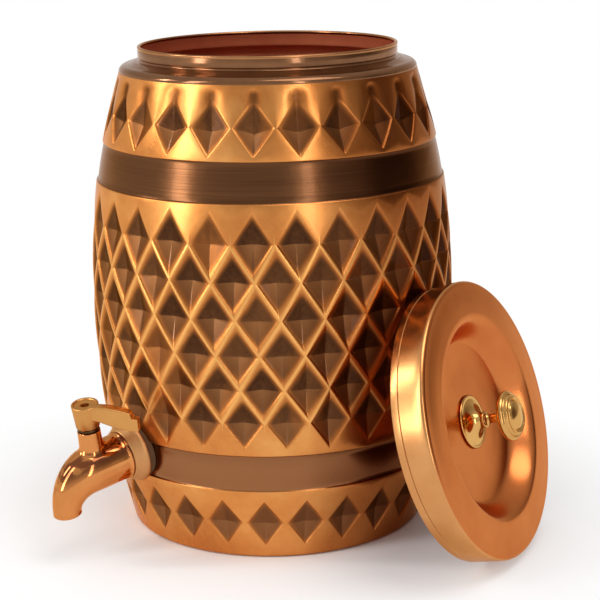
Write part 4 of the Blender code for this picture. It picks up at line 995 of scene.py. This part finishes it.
def swept(stations, sides):
    """A capped round sweep through (distance out, height, radius, pitch) in the tap's frame."""
    points = []
    across = Vector((1.0, 0.0, 0.0))
    for out, height, radius, pitch in stations:
        lift = Vector((0.0, -math.sin(math.radians(pitch)), math.cos(math.radians(pitch))))
        center = Vector((0.0, -out, height))
        for k in range(sides):
            angle = math.tau * k / sides
            points.append(center + radius * (math.cos(angle) * across + math.sin(angle) * lift))
    return points, sleeve(len(stations), sides)


def body_radius(share):
    return STEM_BODY_RADIUS + (SPOUT_RADIUS - STEM_BODY_RADIUS) * eased(share)


def spout_station(share, radius):
    turn = math.radians(90.0 * share)
    out = STEM_DISTANCE + SPOUT_REACH * math.sin(turn)
    height = -SPOUT_DROP * (1.0 - math.cos(turn))
    pitch = math.degrees(math.atan2(SPOUT_DROP * math.sin(turn), SPOUT_REACH * math.cos(turn)))
    return out, height, radius, pitch


def tube_top(across, out):
    """Height of the tube's or spout's upper surface over a point of the tap's frame."""
    steps = 60
    line = []
    for k in range(steps + 1):
        at, height, radius, pitch = spout_station(k / steps, body_radius(k / steps))
        reach = math.sqrt(max(radius ** 2 - across ** 2, 0.0))
        pitch = math.radians(pitch)
        line.append((at + reach * math.sin(pitch), height + reach * math.cos(pitch)))
    return float(np.interp(out, *np.array(line).T))


def stem_housing(start):
    """The housing's points and faces, with a fillet onto the tube. start is its first vertex."""
    points, faces = [], []
    for k in range(TAP_SIDES):
        angle = math.tau * k / TAP_SIDES
        c, s = math.cos(angle), math.sin(angle)
        for level in range(HOUSING_LEVELS + 1):
            spread = (1.0 - level / HOUSING_LEVELS) ** 1.6
            reach = HOUSING_ROOT + HOUSING_FILLET * spread
            across, out = reach * c, STEM_DISTANCE - reach * s
            lift = HOUSING_FILLET * (1.0 - math.sqrt(max(0.0, 1.0 - (1.0 - spread) ** 2)))
            top = tube_top(abs(across), out) + lift - (0.15 if level == 0 else 0.0)
            points.append((across, -out, top))
        upper = [((top + HOUSING_TOP) / 2.0, HOUSING_RADIUS + 0.1)]
        upper += near(HOUSING_TOP, HOUSING_RADIUS, (-1.6, 0.0), (-0.3, 0.0), (-0.08, -0.1), (0.0, -0.35))
        upper += [(HOUSING_TOP, GLAND_HEAD_RADIUS - 1.0)]
        points += [(radius * c, -STEM_DISTANCE + radius * s, height) for height, radius in upper]
    length = len(points) // TAP_SIDES
    firsts = [start + k * length for k in range(TAP_SIDES)]
    for a, b in zip(firsts, firsts[1:] + firsts[:1]):
        faces += [(a + s, b + s, b + s + 1, a + s + 1) for s in range(length - 1)]
    faces += [tuple(first + length - 1 for first in firsts), tuple(firsts[::-1])]
    return points, faces


def tap_casting():
    front = FLANGE_FRONT + GAP
    tube = [(-14.0, SHANK_RADIUS), (front - 0.2, SHANK_RADIUS), (front - 0.15, TUBE_RADIUS - 0.1)]
    for k in range(9):
        angle = math.pi * k / 8
        swell = 2.0 * math.sin(angle) - 1.0 if 0 < k < 8 else -0.3
        out = front + TUBE_BEAD_LENGTH * (0.5 - 0.5 * math.cos(angle))
        tube.append((out, TUBE_RADIUS + TUBE_BEAD * swell * 0.9))
    begin, radius = front + TUBE_BEAD_LENGTH + 2.5, TUBE_RADIUS - TUBE_BEAD * 0.5
    tube += [(begin - 2.0, TUBE_RADIUS - TUBE_BEAD * 0.7), (begin, radius)]
    length, swelling = STEM_DISTANCE - begin, STEM_BODY_RADIUS - radius
    tube += [(begin + length * share, radius + swelling * share) for share in (0.2, 0.4, 0.6, 0.8)]
    bend = [spout_station(k / 30, body_radius(k / 30)) for k in range(31)]
    out, height, radius, pitch = bend.pop()
    mouth = (
        (0.0, SPOUT_LIP * 0.6), (0.25, SPOUT_LIP * 0.3), (0.5, -0.4),
        (0.45, -SPOUT_WALL * 0.7), (0.1, -SPOUT_WALL),
    )
    stations = [(along, 0.0, wide, 0.0) for along, wide in tube] + bend
    stations += [(out, height - drop, radius + wider, pitch) for drop, wider in mouth]
    stations += [spout_station(1.0 - k / 14, SPOUT_RADIUS - SPOUT_WALL) for k in range(1, 10)]
    points, faces = swept(stations, TAP_SIDES)
    more_points, more_faces = stem_housing(len(points))
    obj = mesh_object("tap_casting", points + more_points, faces + more_faces, [MIRROR], None, 50.0, TAP)
    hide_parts("tap_body")
    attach(obj, "pot")


def wall_distance(across, up):
    """How far in front of the tap's mount the wall lies, for a point beside the tap's axis."""
    low, high = -20.0, 12.0
    for _ in range(40):
        middle = (low + high) / 2.0
        point = TAP @ Vector((across, -middle, up))
        from_wall = math.hypot(point.x, point.y) - barrel_radius(point.z)
        inside_band = abs(point.z - LOWER_BAND_MIDDLE) < BAND_WIDTH / 2.0
        if from_wall + (BAND_SINK if inside_band else 0.0) > 0.0:
            high = middle
        else:
            low = middle
    return high


def flange():
    profile = [(TAP_HOLE_RADIUS, FLANGE_BACK)]
    back_steps = (-1.2, 0.0), (-0.1, 0.6), (0.0, 1.4), (-0.25, 2.6), (-1.0, 4.0)
    front_steps = (0.6, -0.8), (0.0, 0.0), (-1.0, -0.1), (-1.3, -1.5)
    profile += near(FLANGE_RADIUS, FLANGE_BACK, *back_steps)
    profile += [(FLANGE_FRONT_RADIUS + 1.6, FLANGE_BACK + 6.2)]
    profile += near(FLANGE_FRONT_RADIUS, FLANGE_FRONT, *front_steps)
    profile += [(TAP_HOLE_RADIUS, FLANGE_FRONT - 1.5)]
    obj = turned("flange", rounded(profile, 0.8), SIDES, [MATT], None, 50.0, OUTWARD)
    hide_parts("tap_flange")
    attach(obj, "pot")


def washer():
    """The rubber washer, shaped to the wall behind it."""
    front = OUTER_WASHER_THICKNESS
    inner, outer = TAP_HOLE_RADIUS, OUTER_WASHER_RADIUS
    points, faces = [], []
    for k in range(SIDES):
        angle = math.tau * k / SIDES
        c, s = math.cos(angle), math.sin(angle)
        inner_wall, outer_wall = (wall_distance(r * c, r * s) + GAP for r in (inner, outer))
        outer_front = max(front, outer_wall + 0.2)
        thick = outer_front - outer_wall > 1.2
        corner = outer_front - 0.5 if thick else (outer_wall + outer_front) / 2
        section = (
            (inner, inner_wall), (outer, outer_wall), (outer, corner), (outer - 0.4, outer_front),
            (inner, front),
        )
        points += [(radius * c, -out, radius * s) for radius, out in section]
    ring = len(section)
    for k in range(SIDES):
        a, b = k * ring, (k + 1) % SIDES * ring
        for s in range(ring):
            t = (s + 1) % ring
            faces.append((a + s, a + t, b + t, b + s))
    obj = mesh_object("washer", points, faces, [RUBBER], None, 50.0, TAP)
    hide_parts("outer_washer")
    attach(obj, "pot")


def gland():
    head = HOUSING_TOP + GAP
    profile = near(0.0, HOUSING_TOP, (STEM_BORE, -5.0), (5.6, -5.0), (5.6, -0.2))
    profile += near(GLAND_HEAD_RADIUS, head, (-0.5, 0.0), (0.0, 0.3))
    profile += near(GLAND_HEAD_RADIUS, head + GLAND_HEAD, (0.0, -0.5), (-0.5, 0.0))
    profile += [(STEM_BORE, head + GLAND_HEAD)]
    obj = turned("gland", rounded(profile, 0.3), GLAND_SIDES, [DARK_BRASS], None, 40.0, STEM)
    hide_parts("gland_nut")
    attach(obj, "pot")


def smooth_stations(stations, steps):
    """Denser stations of a piecewise outline, eased by a Catmull-Rom curve."""
    rows = np.array(stations)
    rows = np.vstack([rows[:1], rows, rows[-1:]])
    out = []
    for a, b, c, d in zip(rows, rows[1:], rows[2:], rows[3:]):
        for t in np.arange(steps) / steps:
            cubic = (3 * b - 3 * c + d - a) * t ** 3
            out.append(tuple(0.5 * (2 * b + (c - a) * t + (2 * a - 5 * b + 4 * c - d) * t * t + cubic)))
    return out + [tuple(stations[-1])]


def blade_rows():
    """The blade's sections: (distance out, middle height, half height, half thickness)."""
    rows = []
    for share, top_share, bottom_share in smooth_stations(BLADE_STATIONS, 4) + list(BLADE_END):
        along = LEVER_OFFSET + (LEVER_REACH - LEVER_OFFSET) * share
        top = HUB_TOP - LEVER_DROOP * top_share
        bottom = HUB_TOP - LEVER_HEIGHT - LEVER_DROOP * bottom_share
        rows.append((along, (top + bottom) / 2.0, (top - bottom) / 2.0, LEVER_THICKNESS / 2.0))
    along, middle, half, thick = rows[-1]
    for share, less in ((0.6, 0.12), (1.0, 0.5)):
        rows.append((along + (LEVER_REACH - along) * share, middle, half - less, thick - less))
    return rows


def lever():
    profile = [(STEM_BORE, HUB_FOOT)] + near(HUB_FOOT_RADIUS, HUB_FOOT, (-0.3, 0.0), (0.0, 0.3))
    profile += near(HUB_RADIUS, HUB_TOP, (-0.03, -1.0), (0.0, -0.45), (-0.15, -0.12), (-0.45, 0.0))
    profile += near(HUB_DISH_RADIUS, HUB_TOP, (0.25, 0.0), (0.0, -0.2), (-0.25, -0.6))
    profile += near(SCREW_HOLE_RADIUS, HUB_TOP, (0.7, -0.7), (0.1, -0.9), (0.0, -1.3), (0.0, -6.3))
    profile += [(STEM_BORE, HUB_TOP - 9.2)]
    hub = turned("lever_hub", profile, TAP_SIDES, [LEVER_METAL], None, 45.0, STEM)
    corner, steps = 0.9, 4
    points = []
    rows = blade_rows()
    for along, middle, half, thick in rows:
        for quadrant, (sx, sy) in enumerate(((1, 1), (1, -1), (-1, -1), (-1, 1))):
            for s in range(steps + 1):
                angle = math.radians(90.0 * s / steps)
                dx, dy = math.sin(angle), math.cos(angle)
                if quadrant % 2:
                    dx, dy = dy, dx
                x = sx * (thick - corner + corner * dx)
                y = sy * (half - corner + corner * dy)
                points.append((along, -x - LEVER_SIDE, middle + y))
    turn = Matrix.Rotation(math.radians(LEVER_HEADING - 90.0), 4, "Z")
    faces = sleeve(len(rows), 4 * (steps + 1))
    blade = mesh_object("lever_blade", points, faces, [LEVER_METAL], None, 50.0, STEM @ turn)
    for obj in (hub, blade):
        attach(obj, "handle")
    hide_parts("lever")
    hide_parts("lever")


# ---------------------------------------------------------------- the lid

# the skirt's material is painted paler than the face as a highlight
SKIRT_EDGES = 12                # edges of the lid's outline, from its seam, that are its brushed skirt


def lid_matrix():
    """Leans the lid on the barrel, as the part does."""
    lean = math.radians(LID_LEAN)
    normal = heading_point(math.cos(lean), LID_FACE_HEADING, math.sin(lean))
    sideways = Vector((0.0, 0.0, 1.0)).cross(normal).normalized()
    uphill = normal.cross(sideways)
    turn = Matrix((sideways, uphill, normal)).transposed()
    edge_height = LID_HEM_RADIUS * math.cos(lean) + GAP / 2.0
    angles = [math.tau * k / 24 for k in range(24)]
    around = [LID_HEM_RADIUS * (math.cos(a) * sideways + math.sin(a) * uphill) for a in angles]

    def clearance(distance):
        center = heading_point(distance, LID_PLACE_HEADING, edge_height)
        rim = [center + spoke for spoke in around]
        return min(math.hypot(p.x, p.y) - barrel_radius(min(p.z, WALL_HEIGHT)) for p in rim)

    near_side, far = BELLY_RADIUS, BELLY_RADIUS + 2.0 * LID_HEM_RADIUS
    for _ in range(40):
        middle = (near_side + far) / 2.0
        if clearance(middle) < GAP:
            near_side = middle
        else:
            far = middle
    center = heading_point(far, LID_PLACE_HEADING, edge_height) + normal * LID_DEPTH
    return Matrix.Translation(center) @ turn.to_4x4()


LID = lid_matrix()


def dish_outline(offset, steps):
    """The face and dish from the rounded edge in to the middle."""
    face = []
    start, end = LID_RADIUS - LID_EDGE_ROUND - 0.6, DISH_RADIUS + 2.5
    for k in range(5):
        share = k / 4
        crown = LID_FACE_CROWN * 0.9 * math.sin(math.pi / 2 * share)
        face.append((start + (end - start) * share, crown - offset))
    for k in range(steps + 1):
        share = k / steps
        height = LID_FACE_CROWN * (1.0 - share) - DISH_DEPTH * eased(share)
        face.append((DISH_RADIUS - (DISH_RADIUS - DISH_FLOOR_RADIUS) * share, height - offset))
    return face


def skirt_radius(height):
    share = min(max((-height - LID_EDGE_ROUND) / (LID_DEPTH - LID_EDGE_ROUND), 0.0), 1.0)
    return LID_RADIUS + (LID_HEM_RADIUS - LID_RADIUS) * share


def lid():
    seam = LID_EDGE_RING - LID_DEPTH
    profile = near(skirt_radius(seam), seam, (-LID_SHEET, 0.0), (-0.35, 0.0), (0.0, 0.3))
    for share in (0.2, 0.4, 0.6, 0.8):
        height = seam * (1.0 - share)
        profile.append((skirt_radius(height), height - LID_EDGE_ROUND * share))
    edge = LID_EDGE_ROUND
    profile += arc((LID_RADIUS - edge, -edge), (edge, edge), 0.0, 88.0, 10)
    profile += dish_outline(0.0, 16)
    profile += near(0.0, -DISH_DEPTH, (30.0, 0.0), (2.0, 0.0), (2.0, -LID_SHEET), (30.0, -LID_SHEET))
    profile += dish_outline(LID_SHEET, 10)[::-1]
    profile += [(LID_RADIUS - LID_SHEET, -edge - LID_SHEET)]
    slots = [1] * SKIRT_EDGES + [0] * (len(profile) - SKIRT_EDGES)
    obj = turned("lid", profile, WIDE_SIDES, [SATIN, SKIRT_WITH_HIGHLIGHT], slots, 40.0, LID)
    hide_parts("lid_cap")
    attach(obj, "lid")
    low, high = -LID_DEPTH, seam - 0.12
    inside = skirt_radius(high) - LID_SHEET - GAP
    ring = near(inside, low, (-1.0, 0.5), (-0.6, 0.1), (0.2, 0.0))
    ring += near(LID_HEM_RADIUS, low, (-0.7, 0.0), (-0.15, 0.2), (0.0, 0.7))
    ring += near(skirt_radius(high), high, (0.0, -0.3), (-0.35, 0.0))
    ring += near(inside, high, (0.0, 0.0), (0.0, 3.0), (-1.0, 3.0))
    obj = turned("lid_edge", ring, WIDE_SIDES, [SKIRT_WITH_HIGHLIGHT], None, 40.0, LID)
    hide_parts("lid_edge_ring")
    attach(obj, "lid")


def knob():
    low = -DISH_DEPTH + GAP
    rim = low + KNOB_BASE_RIM
    flare = KNOB_BASE_RADIUS - KNOB_NECK_RADIUS
    base = [(0.0, low)] + near(KNOB_BASE_RADIUS, low, (-0.4, 0.0), (0.0, 0.4), (0.0, 0.8))
    base += near(KNOB_BASE_RADIUS, rim, (-0.4, 0.0), (-1.3, 0.05), (-1.6, -0.1))
    steps = 14
    for k in range(1, steps + 1):
        angle = math.radians(84.0 * k / steps)
        rise = (KNOB_BASE_HEIGHT - KNOB_BASE_RIM - 1.2) * (1.0 - math.cos(angle))
        base.append((KNOB_BASE_RADIUS - 1.6 - (flare * 0.88 - 1.6) * math.sin(angle), rim + rise))
    collar = low + KNOB_BASE_HEIGHT
    base += near(0.0, collar, (4.3, -1.7), (4.9, -1.5), (5.0, -1.0), (4.7, -0.5), (4.0, -0.35))
    base += [(3.9, collar), (0.0, collar)]
    obj = turned("knob_rose", base, SIDES, [BRASS], None, 50.0, LID)
    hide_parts("knob_base")
    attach(obj, "lid")

    top = low + KNOB_HEIGHT
    head = top - KNOB_HEAD_THICKNESS
    foot = collar + 0.05
    thick, wide, narrow = KNOB_HEAD_THICKNESS, KNOB_HEAD_RADIUS, KNOB_NECK_RADIUS
    profile = [(0.0, foot)] + near(narrow, foot, (0.8, 0.0), (1.0, 0.5), (0.2, 1.2), (-0.1, 2.6))
    profile += [(narrow + 0.2, (foot + head) / 2.0 + 1.4)]
    profile += [(narrow * 1.35, head - 1.4), (narrow * 1.9, head)]
    under = ((0.52, 0.06), (0.74, 0.15), (0.80, 0.19), (0.82, 0.19))
    profile += [(wide * out, head + thick * up) for out, up in under]
    profile += arc((wide * 0.86, head + thick * 0.40), (wide * 0.14, thick * 0.21), -68.0, 70.0, 10)
    groove = ((0.030, -0.25), (0.022, 0.35), (0.0, 0.6), (-0.025, 0.45))
    for share, drop in ((0.88, 2.3), (0.80, 1.45), (0.71, 1.0)):
        profile += [(wide * (share + out), top - KNOB_DISH * drop + up) for out, up in groove]
    profile += [(wide * 0.655, top - KNOB_DISH * 1.05), (wide * 0.61, top - KNOB_DISH * 1.3)]
    for angle in (4, 15, 28, 42, 56, 70, 82):
        c, s = math.cos(math.radians(angle)), math.sin(math.radians(angle))
        profile.append((wide * 0.58 * c, top - KNOB_DISH * 1.25 * (1.0 - s)))
    obj = turned("knob_head", profile + [(0.0, top)], SIDES, [BRASS], None, 50.0, LID)
    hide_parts("knob")
    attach(obj, "lid")


# ---------------------------------------------------------------- carried CAD pieces

CARRIED = {
    "base_pan": BARE,
    "inner_washer": RUBBER,
    "lock_nut": BRASS,
    "valve_plug": BRASS,
    "plug_o_ring_upper": RUBBER,
    "plug_o_ring_lower": RUBBER,
    "seat_seal": PLASTIC,
    "handle_screw": STEEL,
    "knob_washer": STEEL,
    "knob_screw": STEEL,
}


def dress_carried():
    for name, mat in CARRIED.items():
        mesh = frame["nodes"][name].data
        mesh.materials.clear()
        mesh.materials.append(mat)


# ---------------------------------------------------------------- stage, light and camera, in metres

FLOOR_NEAR, FLOOR_FAR = 0.10, 0.29      # the floor's shadow is kept up to here, and gone from here
FLOOR_HALF, FLOOR_DROP = 12000.0, 0.2   # in millimetres, as the points of all meshes


def grey(tone):
    return tone, tone, tone


def stage():
    """A pale floor that keeps the shadow by the object and runs out to the white background."""
    mat, t = new_material("floor")
    t.put({"Base Color": grey(0.94), "Roughness": 0.85, "Specular IOR Level": 0.1})
    place = t.node("TexCoord").outputs["Object"]
    length = t.node("VectorMath", {0: place}, operation="LENGTH").outputs["Value"]
    away = t.remap(length, FLOOR_NEAR, FLOOR_FAR, interpolation_type="SMOOTHSTEP")
    seen = t.multiply(t.seen_by("Camera", "Glossy", "Transmission"), away)
    white = t.node("Emission", {"Color": WHITE, "Strength": 1.0}).outputs["Emission"]
    output = t.tree.nodes["Material Output"]
    t.feed(output.inputs["Surface"], t.blend(seen, t.shader.outputs["BSDF"], white))
    corners = ((-1, -1), (1, -1), (1, 1), (-1, 1))
    points = [(x * FLOOR_HALF, y * FLOOR_HALF, -FLOOR_DROP) for x, y in corners]
    floor = mesh_object("floor", points, [(0, 1, 2, 3)], [mat], None, 0)


def world():
    """White as seen directly; as light, a soft studio, brighter low down and on the tap's side."""
    studio = bpy.data.worlds.new("studio")
    bpy.context.scene.world = studio
    studio.use_nodes = True
    studio.node_tree.nodes.clear()
    t = Tree(studio.node_tree)
    place = t.node("TexCoord").outputs["Generated"]
    right = tuple(heading_point(1.0, CAMERA_HEADING + 90.0, 0.0))
    side = t.node("VectorMath", {0: place, 1: right}, operation="DOT_PRODUCT").outputs["Value"]
    height_tone = t.ramp(
        t.remap(t.axis(place, "Z"), -0.2, 1.0),
        (0.0, grey(0.85)), (0.28, grey(0.85)), (0.5, grey(0.55)), (0.85, grey(0.75)),
    )
    side_tone = t.ramp(
        t.remap(side, -1.0, 1.0), (0.1, WHITE), (0.5, grey(0.9)), (0.78, (0.75, 0.72, 0.7)),
        (0.93, (0.58, 0.52, 0.47)), (0.98, (0.16, 0.12, 0.10)),
    )
    tone = t.mix(1.0, height_tone, side_tone, "MULTIPLY")
    lit, white = (
        t.node("Background", {"Color": color, "Strength": 1.0}).outputs["Background"]
        for color in (tone, WHITE)
    )
    surface = t.blend(t.seen_by("Camera", "Transmission"), lit, white)
    t.node("OutputWorld", {"Surface": surface})


def lamp(name, heading, distance, height, size, power, tall=None):
    """An area lamp that faces the barrel's middle."""
    data = bpy.data.lights.new(name, "AREA")
    data.energy = power
    data.size = size
    if tall:
        data.shape = "RECTANGLE"
        data.size_y = tall
    obj = bpy.data.objects.new(name, data)
    bpy.context.scene.collection.objects.link(obj)
    obj.location = heading_point(distance, CAMERA_HEADING + heading, height)
    obj.rotation_euler = (Vector((0.0, 0.0, 0.15)) - obj.location).to_track_quat("-Z", "Y").to_euler()


def lights():
    """Lamps by their heading from the camera's, distance, height, size, power and size upward."""
    lamp("left_window", -60.0, 1.6, 0.78, 0.32, 11.0, 1.4)
    lamp("right_window", 24.0, 1.9, 0.78, 0.22, 5.5, 1.4)
    lamp("side_window", -88.0, 1.5, 0.95, 0.2, 5.0, 0.5)
    lamp("ceiling", 50.0, 0.7, 1.8, 1.0, 10.0)


def camera():
    data = bpy.data.cameras.new("camera")
    data.sensor_width = SENSOR
    data.lens = CAMERA_LENS
    obj = bpy.data.objects.new("camera", data)
    bpy.context.scene.collection.objects.link(obj)
    pitch, yaw, roll = (math.radians(angle) for angle in (CAMERA_PITCH, CAMERA_YAW, CAMERA_ROLL))
    ahead = Vector((math.sin(yaw) * math.cos(pitch), math.cos(yaw) * math.cos(pitch), -math.sin(pitch)))
    right = Vector((math.cos(yaw), -math.sin(yaw), 0.0))
    up = right.cross(ahead)
    rolled_right = right * math.cos(roll) + up * math.sin(roll)
    rolled_up = up * math.cos(roll) - right * math.sin(roll)
    turn = Matrix.Rotation(math.radians(CAMERA_HEADING), 3, "Z")
    basis = Matrix((turn @ rolled_right, turn @ rolled_up, turn @ -ahead)).transposed()
    place = heading_point(CAMERA_DISTANCE, CAMERA_HEADING, CAMERA_HEIGHT) * MM
    obj.matrix_world = Matrix.Translation(place) @ basis.to_4x4()
    bpy.context.scene.camera = obj


bpy.context.scene.view_settings.view_transform = "Standard"
camera()
stage()
world()
lights()
barrel()
neck()
tap_casting()
flange()
washer()
gland()
lever()
lid()
knob()
dress_carried()
